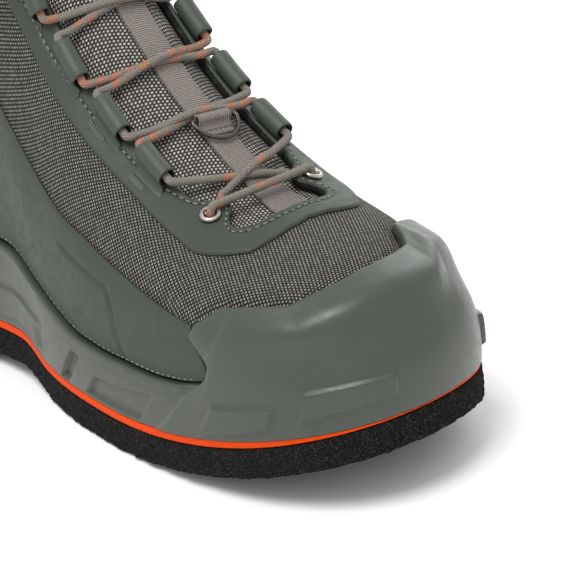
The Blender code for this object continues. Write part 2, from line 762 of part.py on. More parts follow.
def make_webbing(finish):
    """Strap down the middle of the tongue, from under the vamp to the tongue's top."""
    fine = np.linspace(0, 1, 41)
    face = tongue_face(fine)[:, 2:-2]
    normal = face_normals(face)
    length = np.linalg.norm(np.diff(face, axis=1), axis=2).sum(1)
    rows, lifts = [], []
    above = (TONGUE_ROWS[-1],) * (len(face) - len(TONGUE_ROWS))
    middle = np.interp(TONGUE_ROWS + above, TONGUE_ROUND, STRAP_MIDDLE)
    for row, up, total, centre in zip(face, normal, length, middle):
        half = WEBBING_WIDTH / 2 / total
        share = centre + half * np.array([-1, -0.4, 0.4, 1])
        rows.append(np.stack([np.interp(share, fine, row[:, k]) for k in range(3)], -1))
        lifts.append(np.stack([np.interp(share, fine, up[:, k]) for k in range(3)], -1))
    face, up = np.array(rows)[1:], np.array(lifts)[1:]
    outer = face + up * (GAP + WEBBING_THICK)
    return wall_solid("tongue_webbing", outer, face + up * GAP, False, finish)


def frame_at(w, v, lift):
    """Place on the skin with its run to the toe, its direction into the throat and its normal."""
    step = 2e-3
    side = 1 if w <= 1 else -1
    here = lifted(w, v, lift)
    run = lifted(w + side * step, v, lift) - lifted(w - side * step, v, lift)
    run /= np.linalg.norm(run)
    normal = skin_normal(np.array(w), np.array(v))
    inward = np.cross(normal, run) * side
    return here, run, inward, normal


def strap_profile(bore, wall, tail):
    """Outer and inner points of a strap rolled round a bore, with its tail lying outwards."""
    radius = bore / 2 + wall
    outer = [(-radius - tail, -radius - TAIL_DROP), (-radius - tail, -radius - TAIL_DROP + wall)]
    outer += [(radius * math.cos(a), radius * math.sin(a)) for a in np.radians(STRAP_ANGLES)]
    angles = np.radians((215, 180, *STRAP_ANGLES))
    inner = [(bore / 2 * math.cos(a), bore / 2 * math.sin(a)) for a in angles]
    return np.array(outer), np.array(inner)


def rolled_strap(name, stations, bore, wall, tail, finish):
    """Strap rolled round a bore, through stations that each give a centre, an inward and an up."""
    outer, inner = strap_profile(bore, wall, tail)
    order = []
    for face, places in ((outer, stations), (inner, stations[::-1])):
        for centre, inward, up in places:
            order.append(centre + face[:, :1] * inward + face[:, 1:] * up)
    count, rows = len(outer), len(order)
    faces = []
    for r in range(rows):
        for c in range(count):
            d = (c + 1) % count
            low, high = r * count, (r + 1) % rows * count
            faces.append((low + c, low + d, high + d, high + c))
    return add_solid(name, np.concatenate(order), faces, finish)


def loop_place(row, side, along):
    """Centre, run, inward and up of a lace loop's bore, at a distance along it towards the toe."""
    radius = LOOP_BORE / 2 + LOOP_WALL
    lift = OVERLAY_TOP + radius + LOOP_SEAT
    base, _, _, _ = frame_at(row if side > 0 else 2 - row, LOOP_UP, lift)
    step = 0.01
    near, _, _, _ = frame_at(row + step if side > 0 else 2 - row - step, LOOP_UP, lift)
    w = row + step * along / np.linalg.norm(near - base)
    here, run, inward, up = frame_at(w if side > 0 else 2 - w, LOOP_UP, lift)
    return here - inward * along * math.tan(LOOP_TOE_IN), run, inward, up


def make_loops(finish):
    """Straps rolled into tunnels for the lace, along both edges of the throat."""
    for i, row in enumerate(LOOP_ROWS):
        for side, label in ((1, "lateral"), (-1, "medial")):
            stations = []
            for share in (-0.5, 0.0, 0.5):
                here, _, inward, up = loop_place(row, side, LOOP_LENGTH * share)
                stations.append((here, inward, up))
            rolled_strap(f"lace_loop_{label}_{i + 1}", stations, LOOP_BORE, LOOP_WALL, LOOP_TAIL, finish)


def eyelet_place(index, side):
    """Centre, run, inward and axis of an eyelet on the overlay."""
    w = EYELET_ROWS[index] if side > 0 else 2 - EYELET_ROWS[index]
    return frame_at(w, EYELET_UP[index], OVERLAY_TOP + GAP)


def turned_ring(name, centre, axis, profile, count, finish):
    """Closed profile of radius and height turned round an axis."""
    side = np.cross(axis, (0.0, 1.0, 0.3))
    side /= np.linalg.norm(side)
    other = np.cross(axis, side)
    rings = []
    for angle in np.linspace(0, 2 * math.pi, count, endpoint=False):
        out = side * math.cos(angle) + other * math.sin(angle)
        rings.append([centre + r * out + h * axis for r, h in profile])
    rows, cols = count, len(profile)
    faces = []
    for r in range(rows):
        for c in range(cols):
            d, after = (c + 1) % cols, (r + 1) % rows
            faces.append((r * cols + c, r * cols + d, after * cols + d, after * cols + c))
    return add_solid(name, np.concatenate(rings), faces, finish)


def make_eyelets(finish, carriers):
    """Metal eyelets with a rolled flange, each in a hole through the overlay and the upper."""
    depth = OVERLAY_THICK + OVERLAY_CLEAR + WALL
    bore, outer = EYELET_BORE / 2, EYELET_BORE / 2 + EYELET_BARREL
    profile = (
        (bore, -depth),
        (bore, EYELET_RIM * 0.6),
        (outer, EYELET_RIM),
        (EYELET_FLANGE * 0.9, EYELET_RIM * 0.8),
        (EYELET_FLANGE, 0.0),
        (outer, 0.0),
        (outer, -depth),
    )
    for index, level in ((1, "low"), (0, "top")):
        for side, label in ((1, "lateral"), (-1, "medial")):
            here, _, _, up = eyelet_place(index, side)
            turned_ring(f"eyelet_{level}_{label}", here, up, profile, EYELET_SIDES, finish)
            hole = outer + EYELET_CLEAR
            core = [here - up * 4 * depth, here + up * 3 * depth]
            cutter = tube(f"cutter_{level}_{label}", core, hole, EYELET_SIDES, False, finish)
            cutter.hide_render = True
            cutter.display_type = "WIRE"
            for carrier in carriers:
                hole_cut = carrier.modifiers.new(cutter.name, "BOOLEAN")
                hole_cut.operation = "DIFFERENCE"
                hole_cut.object = cutter


def tube(name, path, radius, sides, closed, finish):
    """Round tube along a path, with flat caps or closed on itself."""
    path = np.asarray(path, float)
    if closed:
        run = np.roll(path, -1, 0) - np.roll(path, 1, 0)
    else:
        run = np.gradient(path, axis=0)
    run /= np.linalg.norm(run, axis=1)[:, None]
    guide = np.cross(run[0], (0.3, 0.2, 1.0))
    rings = []
    for point, tangent in zip(path, run):
        guide -= tangent * guide.dot(tangent)
        guide /= np.linalg.norm(guide)
        other = np.cross(tangent, guide)
        angles = np.linspace(0, 2 * math.pi, sides, endpoint=False)
        rings.append([point + radius * (math.cos(a) * guide + math.sin(a) * other) for a in angles])
    rows = len(path)
    faces = []
    for r in range(rows if closed else rows - 1):
        for c in range(sides):
            d, after = (c + 1) % sides, (r + 1) % rows
            faces.append((r * sides + c, r * sides + d, after * sides + d, after * sides + c))
    if not closed:
        faces += [tuple(range(sides)), tuple(range((rows - 1) * sides, rows * sides))]
    return add_solid(name, np.concatenate(rings), faces, finish)


def lace_over(start, end, from_row, to_row, from_across, to_across):
    """Lace path from one point to another over the tongue and its strap."""
    t = np.linspace(0, 1, LACE_POINTS)
    rows = from_row + (to_row - from_row) * t
    across = from_across + (to_across - from_across) * t
    step = 0.02
    face = tongue_arch(rows, across)
    side = tongue_arch(rows, across + step) - tongue_arch(rows, across - step)
    climb = tongue_arch(rows - step / 2, across) - tongue_arch(rows + step / 2, across)
    up = np.cross(side, climb)
    up /= np.linalg.norm(up, axis=1)[:, None]
    up *= np.sign(up[:, 2:])
    over = face + up * (LACE_THICK / 2 + WEBBING_THICK + 2 * GAP + LACE_CLEAR)
    fade = (1 - smooth(0, LACE_FADE, t))[:, None]
    return over + (start - over[0]) * fade + (end - over[-1]) * fade[::-1]


def loop_exit(index, side, front):
    """Lace point just outside a loop's front or back mouth, clear of its rim."""
    here, run, _, _ = loop_place(LOOP_ROWS[index], side, LOOP_LENGTH / 2 * (1 if front else -1))
    return here + run * LACE_THICK * (1 if front else -1)


def join(name, strands, finish):
    """Strands that cross, joined into one solid."""
    tubes = []
    for i, path in enumerate(strands):
        tubes.append(tube(f"{name}_{i}", path, LACE_THICK / 2, LACE_SIDES, False, finish))
    body = tubes[0]
    body.name = name
    for other in tubes[1:]:
        other.hide_render = True
        other.display_type = "WIRE"
        union = body.modifiers.new(other.name, "BOOLEAN")
        union.operation = "UNION"
        union.object = other
    return body


def make_laces(finish):
    """Lace crossings over the tongue, from the bar at the low eyelets to the top eyelets."""
    low_row, top_row = EYELET_ROWS[1], EYELET_ROWS[0]
    mouths = {}
    for side in (1, -1):
        for index, label in ((1, "low"), (0, "top")):
            here, _, inward, up = eyelet_place(index, side)
            mouths[label, side] = here + inward * MOUTH_INWARD + up * (EYELET_RIM + LACE_THICK * MOUTH_LIFT)
    bar = lace_over(mouths["low", 1], mouths["low", -1], low_row - BAR_RISE, low_row - BAR_RISE, 0.0, 1.0)
    tube("lace_bar", bar, LACE_THICK / 2, LACE_SIDES, False, finish)
    strands = []
    for side, share in zip((1, -1), UNDER_START):
        tuck = np.array([share])
        start = tongue_arch(np.array([UNDER_ROW]), tuck)[0] + UNDER_WAY * LACE_THICK * UNDER_LIFT
        end = loop_exit(len(LOOP_ROWS) - 1, -side, True)
        goal = 1.0 if side > 0 else 0.0
        strands.append(lace_over(start, end, UNDER_ROW, LOOP_ROWS[-1] + UNDER_STEP, tuck[0], goal))
    join("lace_cross_1", strands, finish)
    for number in range(len(LOOP_ROWS)):
        index = len(LOOP_ROWS) - 1 - number
        strands = []
        for side in (1, -1):
            start = loop_exit(index, side, False)
            from_row = LOOP_ROWS[index] - LOOP_STEP
            if index:
                end, to_row = loop_exit(index - 1, -side, True), LOOP_ROWS[index - 1] + LOOP_STEP
            else:
                end, to_row = mouths["top", -side], top_row
            goal = (0.0, 1.0) if side > 0 else (1.0, 0.0)
            strands.append(lace_over(start, end, from_row, to_row, *goal))
        join(f"lace_cross_{number + 2}", strands, finish)


def make_ring(metal, strap):
    """D-shaped keeper ring held on the tongue by a folded tab of the same strap."""
    row = np.array([TAB_ROW])
    middle = np.interp(row, TONGUE_ROUND, STRAP_MIDDLE)
    here = tongue_arch(row, middle)[0]
    climb = tongue_arch(row - 0.01, middle)[0] - tongue_arch(row + 0.01, middle)[0]
    climb /= np.linalg.norm(climb)
    across = tongue_arch(row, middle - 0.05)[0] - tongue_arch(row, middle + 0.05)[0]
    across /= np.linalg.norm(across)
    up = np.cross(across, -climb)
    up *= np.sign(up[2])
    bore = RING_WIRE + 2 * EYELET_CLEAR
    radius = bore / 2 + TAB_WALL
    base = here + up * (3 * GAP + WEBBING_THICK + radius + TAIL_DROP)
    half_tab = WEBBING_WIDTH / 2 * TAB_SHARE
    stations = [(base + across * half_tab * end, climb, up) for end in (-1, 1)]
    rolled_strap("ring_tab", stations, bore, TAB_WALL, TAB_LENGTH, strap)
    half = RING_WIDTH / 2
    path = [(-half, 0), (-half * 0.5, 0), (half * 0.5, 0), (half, 0)]
    for angle in np.linspace(0, math.pi, RING_TURNS)[1:-1]:
        path.append((half * math.cos(angle), RING_DEPTH * math.sin(angle)))
    points = [base + x * across - depth * climb for x, depth in path]
    tube("keeper_ring", points, RING_WIRE / 2, RING_SIDES, True, metal)


def main():
    """Clears the scene and builds every solid of the boot."""
    for old in list(bpy.data.objects):
        bpy.data.objects.remove(old, do_unlink=True)
    felt = material("black felt", (0.013, 0.012, 0.012), 1.0)
    orange = material("orange rubber", (0.85, 0.06, 0.005), 0.45)
    moulded = material("grey green rubber", (0.13, 0.15, 0.125), 0.5)
    mesh_cloth = material("dark mesh cloth", (0.09, 0.085, 0.08), 0.8)
    overlay = material("dark green overlay", (0.095, 0.12, 0.10), 0.55)
    foam = material("grey foam", (0.12, 0.12, 0.12), 0.9)
    plate("outsole_felt", 0.0, ground, lambda y: ground(y) + FELT_THICK, felt)
    plate(
        "midsole_stripe",
        STRIPE_INSET,
        lambda y: ground(y) + FELT_THICK + GAP,
        lambda y: ground(y) + FELT_THICK + GAP + STRIPE_THICK,
        orange,
    )
    make_rand(moulded)
    upper = make_upper(mesh_cloth)
    make_insole(foam)
    make_tongue(mesh_cloth)
    strap = material("taupe webbing", (0.30, 0.265, 0.23), 0.85)
    steel = material("dark steel", (0.35, 0.35, 0.34), 0.35, 1.0)
    silver = material("silver eyelet", (0.62, 0.60, 0.57), 0.3, 1.0)
    cord = material("taupe lace", (0.27, 0.25, 0.21), 0.8)
    make_quarter(overlay)
    make_webbing(strap)
    make_ring(steel, strap)
    make_loops(overlay)
    make_eyelets(silver, [upper, make_eyestay(overlay)])
    make_laces(cord)


main()
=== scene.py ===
"""Looks of a felt-soled wading boot for the right foot, dressed over its packed solids.

All work is in metres in the solids' frame: +X is the boot's lateral side, +Y points to the toe, +Z
is up, and the floor is at zero. The boot's form is one skin function, skin(w, v): w runs once
round the boot, 0 at the heel, 1 at the toe and 2 at the heel again, lateral side first, and v runs
up from the sole at 0 to the collar or throat at 1. Cloth, overlays and rubber are cut from it.
"""

import math
from functools import lru_cache

import bpy
import numpy as np
from mathutils import Matrix, Vector, noise


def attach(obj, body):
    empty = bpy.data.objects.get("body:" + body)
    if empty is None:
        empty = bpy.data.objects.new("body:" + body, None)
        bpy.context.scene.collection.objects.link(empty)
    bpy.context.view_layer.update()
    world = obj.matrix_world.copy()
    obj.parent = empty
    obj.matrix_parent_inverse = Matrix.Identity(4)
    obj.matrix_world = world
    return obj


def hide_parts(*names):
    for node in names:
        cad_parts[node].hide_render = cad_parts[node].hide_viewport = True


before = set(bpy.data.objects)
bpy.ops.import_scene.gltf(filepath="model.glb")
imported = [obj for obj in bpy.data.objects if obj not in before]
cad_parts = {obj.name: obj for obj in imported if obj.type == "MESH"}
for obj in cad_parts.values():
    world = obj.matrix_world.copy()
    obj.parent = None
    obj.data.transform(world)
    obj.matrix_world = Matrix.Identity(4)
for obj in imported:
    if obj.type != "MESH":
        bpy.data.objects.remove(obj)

bl_info = {
    "name": "Wading boot dresser",
    "version": (1, 0, 0),
    "blender": (4, 5, 0),
    "location": "View3D > Sidebar > Wading Boot",
    "description": "Builds the cloth, rubber, felt, lace and stitching of a wading boot",
    "category": "Object",
}

# Driving sizes, the same as the solids'
LENGTH = 0.312
BALL_WIDTH = 0.1155
INSTEP_HEIGHT = 0.087
COLLAR_HEIGHT = 0.190
COLLAR_WIDTH = 0.075
COLLAR_FRONT = 0.099
THROAT_WIDTH = 0.048
THROAT_SHIFT = -0.0065
THROAT_END = 0.739
HEEL_CENTRE = 0.045

# Sole
FELT_THICK = 0.012
STRIPE_THICK = 0.0035
MIDSOLE_THICK = 0.005
HEEL_LIFT = 0.009
TOE_SPRING = 0.022
ARCH_RISE = 0.005
HEEL_KICK = 0.003
FEATHER_INSET = 0.0065
# Shares of the length: where the toe spring starts, where the arch rises and falls, how far the
# heel's kick reaches, and where the floor comes down from the heel
SPRING_START = 0.61
ARCH_RISES = (0.245, 0.295)
ARCH_FALLS = (0.36, 0.44)
KICK_REACH = 0.045
FLOOR_FALLS = (0.22, 0.62)

# Layers over and under the skin
GAP = 0.0003
TUCK = 0.0007
OVERLAY_CLEAR = 0.0003
OVERLAY_THICK = 0.0014
WALL = 0.0020
COLLAR_PAD = 0.0045
COLLAR_PUFF = 0.0022
# The collar's padding grows between two v, and ends between two places round the boot
PAD_GROWS = (0.60, 0.84)
PAD_ENDS = (0.40, 0.47)
RAND_LIP = 0.0027
RAND_BASE_BULGE = 0.0058
RAND_RIM = 0.0013
CAP_STEP = 0.0007
RIDGE_RISE = 0.0021
RIDGE_DIP = 0.0016
TONGUE_THICK = 0.0045
TONGUE_CLEAR = 0.0008
TONGUE_REACH = 0.022
TONGUE_TAPER = 0.28

# Trim and lacing
WEBBING_WIDTH = 0.013
WEBBING_THICK = 0.0012
TAB_LENGTH = 0.0052
TAB_WALL = 0.0009
TAB_WIDTH = 0.0146
TAB_ROW = 0.659
RING_WIDTH = 0.020
RING_DEPTH = 0.0105
RING_WIRE = 0.0018
TAB_BORE = RING_WIRE + 0.0006
LACE_THICK = 0.0032
LOOP_BORE = 0.0052
LOOP_WALL = 0.0014
LOOP_LENGTH = 0.0165
LOOP_TAIL = 0.0045
LOOP_TOE_IN = math.radians(5)
LOOP_ROWS = (0.512, 0.560, 0.611, 0.672)
LOOP_UP = 0.985
EYELET_ROWS = {"low": 0.762, "top": 0.473}
EYELET_UP = {"low": 0.970, "top": 0.940}
EYELET_BORE = 0.0046
EYELET_FLANGE = 0.0042
EYELET_RIM = 0.0012
SIDES = ((1, "lateral"), (-1, "medial"))

# Sole outline: across in half ball widths, along in boot lengths
OUTLINE = (
    (0.000, 0.000), (0.745, 0.154), (0.797, 0.349), (0.935, 0.478), (1.013, 0.651),
    (0.984, 0.772), (0.807, 0.901), (0.398, 0.987), (-0.145, 1.000), (-0.641, 0.955),
    (-0.900, 0.869), (-0.987, 0.721), (-0.797, 0.513), (-0.623, 0.353), (-0.727, 0.154),
)
# Collar edge: round, along in collar fronts, height and both half widths in collar sizes
COLLAR = (
    (0.00, 0.080, 0.980, 0.00, 0.00),
    (0.10, 0.120, 0.984, 0.45, -0.45),
    (0.20, 0.290, 0.995, 0.83, -0.83),
    (0.30, 0.560, 1.021, 0.99, -1.01),
    (0.40, 0.848, 1.047, 0.85, -0.99),
    (0.46, 1.000, 1.021, 0.61, -0.88),
)
# Throat edge: round, along to the throat's end, height to the collar, half width in its halves
THROAT = (
    (0.50, 0.114, 0.767, 1.00),
    (0.55, 0.281, 0.495, 1.00),
    (0.60, 0.449, 0.301, 1.00),
    (0.66, 0.631, 0.150, 1.00),
    (0.72, 0.799, 0.044, 0.98),
    (0.80, 0.935, 0.000, 0.75),
    (0.90, 0.989, 0.010, 0.32),
    (1.00, 1.000, 0.015, 0.00),
)
# Meridians: round, lower bulge and rise, upper bulge of each side, upper drop
FLESH = (
    (0.00, 0.16, 0.30, -0.27, -0.27, 0.34),
    (0.20, 0.12, 0.30, -0.20, -0.20, 0.35),
    (0.40, 0.07, 0.28, 0.04, 0.04, 0.34),
    (0.50, 0.05, 0.30, 0.35, 0.32, 0.28),
    (0.60, 0.05, 0.38, 0.47, 0.39, 0.22),
    (0.72, 0.05, 0.53, 0.55, 0.42, 0.17),
    (0.85, 0.10, 0.78, 0.66, 0.54, 0.14),
    (1.00, 0.13, 0.90, 0.73, 0.73, 0.16),
)
# Rand's top edge: base of the column, then round and up of its top on the lateral side, and on
# the medial side where they differ
RAND_EDGE = (
    (0.000, 0.000, 0.300), (0.120, 0.120, 0.295), (0.180, 0.180, 0.285), (0.250, 0.250, 0.268),
    (0.390, 0.390, 0.222), (0.502, 0.502, 0.182), (0.530, 0.530, 0.168), (0.570, 0.570, 0.174),
    (0.610, 0.610, 0.182), (0.650, 0.650, 0.178), (0.680, 0.685, 0.182), (0.700, 0.718, 0.195),
    (0.715, 0.742, 0.255), (0.730, 0.725, 0.385), (0.745, 0.742, 0.440),
    (0.775, 0.778, 0.495, 0.775, 0.500), (0.795, 0.790, 0.515, 0.800, 0.530),
    (0.820, 0.817, 0.500, 0.825, 0.560), (0.850, 0.850, 0.478, 0.855, 0.590),
    (0.873, 0.873, 0.457, 0.880, 0.615), (0.900, 0.900, 0.478, 0.900, 0.625),
    (0.920, 0.920, 0.490, 0.915, 0.570), (0.940, 0.940, 0.504, 0.930, 0.530),
    (0.970, 0.970, 0.524, 0.965, 0.530), (1.000, 1.000, 0.533),
)
# Panels on the rand: side of the boot, back and front at the low edge, the same at the high edge,
# low and high edge at the back, the same at the front, and the step out or in
PANELS = (
    (1, 0.060, 0.150, 0.066, 0.156, 0.040, 0.125, 0.040, 0.125, 0.0011),
    (1, 0.210, 0.300, 0.216, 0.306, 0.040, 0.120, 0.040, 0.120, 0.0014),
    (1, 0.360, 0.450, 0.366, 0.456, 0.035, 0.110, 0.035, 0.110, 0.0011),
    (1, 0.497, 0.507, 0.521, 0.531, 0.015, 0.110, 0.015, 0.110, -0.0022),
    (1, 0.542, 0.620, 0.557, 0.640, 0.020, 0.075, 0.025, 0.110, -0.0016),
    (1, 0.708, 0.797, 0.732, 0.810, 0.030, 0.130, 0.050, 0.110, 0.0015),
    (1, 0.840, 0.958, 0.850, 0.960, 0.055, 0.135, 0.070, 0.120, 0.0015),
    (-1, 0.060, 0.150, 0.066, 0.156, 0.040, 0.125, 0.040, 0.125, 0.0011),
    (-1, 0.210, 0.300, 0.216, 0.306, 0.040, 0.120, 0.040, 0.120, 0.0014),
    (-1, 0.360, 0.450, 0.366, 0.456, 0.035, 0.110, 0.035, 0.110, 0.0011),
    (-1, 0.552, 0.634, 0.562, 0.644, 0.030, 0.110, 0.030, 0.110, 0.0011),
    (-1, 0.690, 0.835, 0.702, 0.847, 0.040, 0.135, 0.040, 0.135, 0.0020),
)
# Edges on the skin, as rows of round and up
THROAT_TRIM = (
    (0.46, 1.000), (0.60, 1.000), (0.70, 0.995), (0.728, 1.000), (0.745, 1.045),
    (0.765, 1.065), (0.783, 1.040), (0.798, 0.970), (0.815, 0.930), (0.850, 0.920),
    (0.890, 0.938), (0.940, 0.962), (1.000, 0.968),
)
EYESTAY_EDGE = (
    (0.46, 0.860), (0.55, 0.835), (0.60, 0.830), (0.652, 0.835), (0.685, 0.825),
    (0.725, 0.812), (0.756, 0.778), (0.810, 0.785), (0.855, 0.785), (0.890, 0.820),
    (0.940, 0.868), (1.000, 0.890),
)
QUARTER_EDGE = (
    (0.00, 0.740), (0.15, 0.730), (0.30, 0.690), (0.40, 0.620), (0.47, 0.550),
    (0.547, 0.508), (0.585, 0.518), (0.633, 0.500), (0.677, 0.470), (0.722, 0.432),
    (0.745, 0.410),
)
STITCH_LINE = (
    (0.462, 0.918), (0.520, 0.922), (0.600, 0.926), (0.643, 0.935), (0.667, 0.938),
    (0.693, 0.957), (0.715, 0.975), (0.728, 0.985), (0.745, 1.020), (0.765, 1.042),
    (0.783, 1.018), (0.798, 0.945), (0.815, 0.905), (0.850, 0.895), (0.890, 0.913),
    (0.940, 0.940), (1.000, 0.946),
)
# Tongue: round, up of its hidden side, up of its shown edge, bow of its arch, strap's middle
TONGUE = (
    (0.48, 0.88, 1.00, 0.38, 0.60),
    (0.55, 0.88, 1.00, 0.38, 0.61),
    (0.69, 0.86, 1.00, 0.38, 0.61),
    (0.74, 0.86, 0.97, 0.38, 0.62),
    (0.77, 0.84, 0.93, 0.30, 0.62),
    (0.80, 0.82, 0.89, 0.20, 0.62),
    (0.84, 0.78, 0.85, 0.10, 0.62),
)
TONGUE_ROUND, TONGUE_SIDE, TONGUE_OPEN, TONGUE_BOW, STRAP_MIDDLE = zip(*TONGUE)

# A table is read at these shares of its ease and averaged, which rounds its corners
EASE_SHIFTS = (-1.0, -0.5, 0.0, 0.5, 1.0)
TABLE_EASE = 0.004
RAND_EASE = 0.0018
# Distance in round and up between points that give the skin's slope
SKIN_STEP = 1e-3


def unit(vectors):
    """Vectors of length 1 in the same directions."""
    return vectors / np.linalg.norm(vectors, axis=-1, keepdims=True)


def run_length(points):
    """Distance along a path from its first point to each of its points."""
    return np.r_[0, np.cumsum(np.linalg.norm(np.diff(points, axis=0), axis=1))]


def read_path(at, along, points):
    """Points of a path at other places along it."""
    return np.stack([np.interp(at, along, points[:, k]) for k in range(3)], -1)


def from_heel(w):
    """Share of the way from heel to toe at w, the same on both sides."""
    w = np.asarray(w, float) % 2
    return np.where(w <= 1, w, 2 - w)


def both_sides(columns):
    """Columns at the same places on both sides, once round the boot, heel and toe once."""
    return np.r_[columns, 2 - columns[-2:0:-1]]


def spline(knots, values, period):
    """A smooth closed curve through rows, as a function of the parameter."""
    knot = np.asarray(knots, float)
    value = np.asarray(values, float)
    count = len(knot)
    span = np.diff(np.r_[knot, knot[0] + period])
    slope = (np.roll(value, -1, 0) - value) / span[:, None]
    system = np.zeros((count, count))
    for i in range(count):
        system[i, i - 1] += span[i - 1]
        system[i, i] += 2 * (span[i - 1] + span[i])
        system[i, (i + 1) % count] += span[i]
    bend = np.linalg.solve(system, 6 * (slope - np.roll(slope, 1, 0)))

    def at(t):
        t = (np.asarray(t, float) - knot[0]) % period + knot[0]
        i = np.clip(np.searchsorted(knot, t, side="right") - 1, 0, count - 1)
        j = (i + 1) % count
        a = ((knot[i] + span[i] - t) / span[i])[..., None]
        b = 1 - a
        cube = (span[i] ** 2)[..., None] / 6
        return a * value[i] + b * value[j] + ((a**3 - a) * bend[i] + (b**3 - b) * bend[j]) * cube

    return at


def smooth(low, high, value):
    """Smooth step from 0 to 1 between two limits."""
    t = np.clip((value - low) / (high - low), 0, 1)
    return t * t * (3 - 2 * t)


def bell(middle, reach, value):
    """A smooth bump of height 1."""
    return np.exp(-(((value - middle) / reach) ** 2))


@lru_cache(maxsize=8)
def outline(inset):
    """Dense plan outline of the sole, moved inwards, with its outward normals."""
    point = np.array(OUTLINE) * (BALL_WIDTH / 2, LENGTH)
    step = np.sqrt(np.linalg.norm(np.roll(point, -1, 0) - point, axis=1))
    knot = np.r_[0, np.cumsum(step)]
    dense = spline(knot[:-1], point, knot[-1])(np.linspace(0, knot[-1], 1600, endpoint=False))
    run = unit(np.roll(dense, -1, 0) - np.roll(dense, 1, 0))
    normal = np.c_[run[:, 1], -run[:, 0]]
    return dense - inset * normal, normal


def outline_at(w, inset):
    """Point and normal of the inset outline at w. Both sides have the same y at the same u."""
    w = np.asarray(w, float) % 2
    u = from_heel(w)
    point, normal = outline(inset)
    low, high = point[:, 1].argmin(), point[:, 1].argmax()
    count = len(point)
    lateral = np.arange(low, low + (high - low) % count + 1) % count
    medial = (np.arange(high, high + (low - high) % count + 1) % count)[::-1]
    y = point[low, 1] + (point[high, 1] - point[low, 1]) * (1 - np.cos(np.pi * u)) / 2
    sides = []
    for index in (lateral, medial):
        along = np.maximum.accumulate(point[index, 1]) + np.arange(len(index)) * 1e-12
        columns = (point[index, 0], normal[index, 0], normal[index, 1])
        sides.append([np.interp(y, along, column) for column in columns])
    x, nx, ny = (np.where(w <= 1, a, b) for a, b in zip(*sides))
    size = np.hypot(nx, ny)
    return np.stack([x, y], -1), np.stack([nx / size, ny / size, 0 * nx], -1)


def toe_spring(y):
    """Rise of the sole from the ball to the toe."""
    share = (np.asarray(y) / LENGTH - SPRING_START) / (1 - SPRING_START)
    return TOE_SPRING * np.clip(share, 0, 1.3) ** 1.8


def ground(y):
    """Height of the tread: flat at the heel and the forefoot, with an arch and a toe spring."""
    share = np.asarray(y) / LENGTH
    arch = ARCH_RISE * smooth(*ARCH_RISES, share) * (1 - smooth(*ARCH_FALLS, share))
    kick = HEEL_KICK * np.clip((KICK_REACH - share) / KICK_REACH, 0, 1.5) ** 2
    return toe_spring(y) + arch + kick


def sole_top(y):
    """Height of the stripe's top, where rand and upper start."""
    return ground(y) + FELT_THICK + STRIPE_THICK + 2 * GAP


def floor_top(y):
    """Height of the midsole's floor inside the boot."""
    lift = HEEL_LIFT * (1 - smooth(*FLOOR_FALLS, np.asarray(y) / LENGTH))
    return toe_spring(y) + FELT_THICK + STRIPE_THICK + 2 * GAP + MIDSOLE_THICK + lift


def round_rows(rows, cells):
    """Closed spline through table rows, once along the lateral and once along the medial side."""
    there = [(row[0], cells(row, 1)) for row in rows]
    back = [(2 - row[0], cells(row, -1)) for row in rows[-2:0:-1]]
    knots, values = zip(*(there + back))
    return spline(knots, values, 2.0)


def edge_rows():
    """Collar and throat tables as points of the top edge."""
    rows = []
    for around, along, height, lateral, medial in COLLAR:
        across = (lateral * COLLAR_WIDTH / 2, medial * COLLAR_WIDTH / 2)
        rows.append((around, across, along * COLLAR_FRONT, height * COLLAR_HEIGHT))
    for around, along, rise, half in THROAT:
        reach = half * THROAT_WIDTH / 2
        across = (THROAT_SHIFT + reach, THROAT_SHIFT - reach)
        y = COLLAR_FRONT + along * (THROAT_END * LENGTH - COLLAR_FRONT)
        rows.append((around, across, y, INSTEP_HEIGHT + rise * (COLLAR_HEIGHT - INSTEP_HEIGHT)))
    return rows


TOP_EDGE = round_rows(edge_rows(), lambda row, side: (row[1][side < 0], row[2], row[3]))
FLESH_AT = round_rows(
    FLESH, lambda row, side: (row[1], row[2], row[3] if side > 0 else row[4], row[5])
)


def skin(w, v):
    """Outer face of the upper, with y counted from the heel's back."""
    w, v = np.broadcast_arrays(np.asarray(w, float), np.asarray(v, float))
    plan, out = outline_at(w, FEATHER_INSET)
    foot = np.concatenate([plan, sole_top(plan[..., 1])[..., None]], -1)
    top = TOP_EDGE(w)
    tall = (top - foot)[..., 2:]
    low_bulge, rise, high_bulge, drop = np.moveaxis(FLESH_AT(w)[..., None], -2, 0)
    up = np.array([0, 0, 1.0])
    low = foot + low_bulge * BALL_WIDTH / 2 * out + rise * tall * up
    high = top + high_bulge * BALL_WIDTH / 2 * out - drop * tall * up
    v = v[..., None]
    a = 1 - v
    return a**3 * foot + 3 * a * a * v * low + 3 * a * v * v * high + v**3 * top


def skin_normal(w, v):
    """Outward normal of the skin."""
    across = skin(w + SKIN_STEP, v) - skin(w - SKIN_STEP, v)
    upward = skin(w, v + SKIN_STEP) - skin(w, v - SKIN_STEP)
    return unit(np.cross(across, upward))


def lifted(w, v, lift):
    """Point at a height over the skin, below it where lift is negative."""
    w, v, lift = np.broadcast_arrays(*(np.asarray(value, float) for value in (w, v, lift)))
    return skin(w, v) + skin_normal(w, v) * lift[..., None]


def side_table(rows, w):
    """Rows of round and up read at w with eased corners, the same on both sides."""
    around, up = zip(*rows)
    turns = [from_heel(w + shift * TABLE_EASE) for shift in EASE_SHIFTS]
    return sum(np.interp(turn, around, up) for turn in turns) / len(turns)


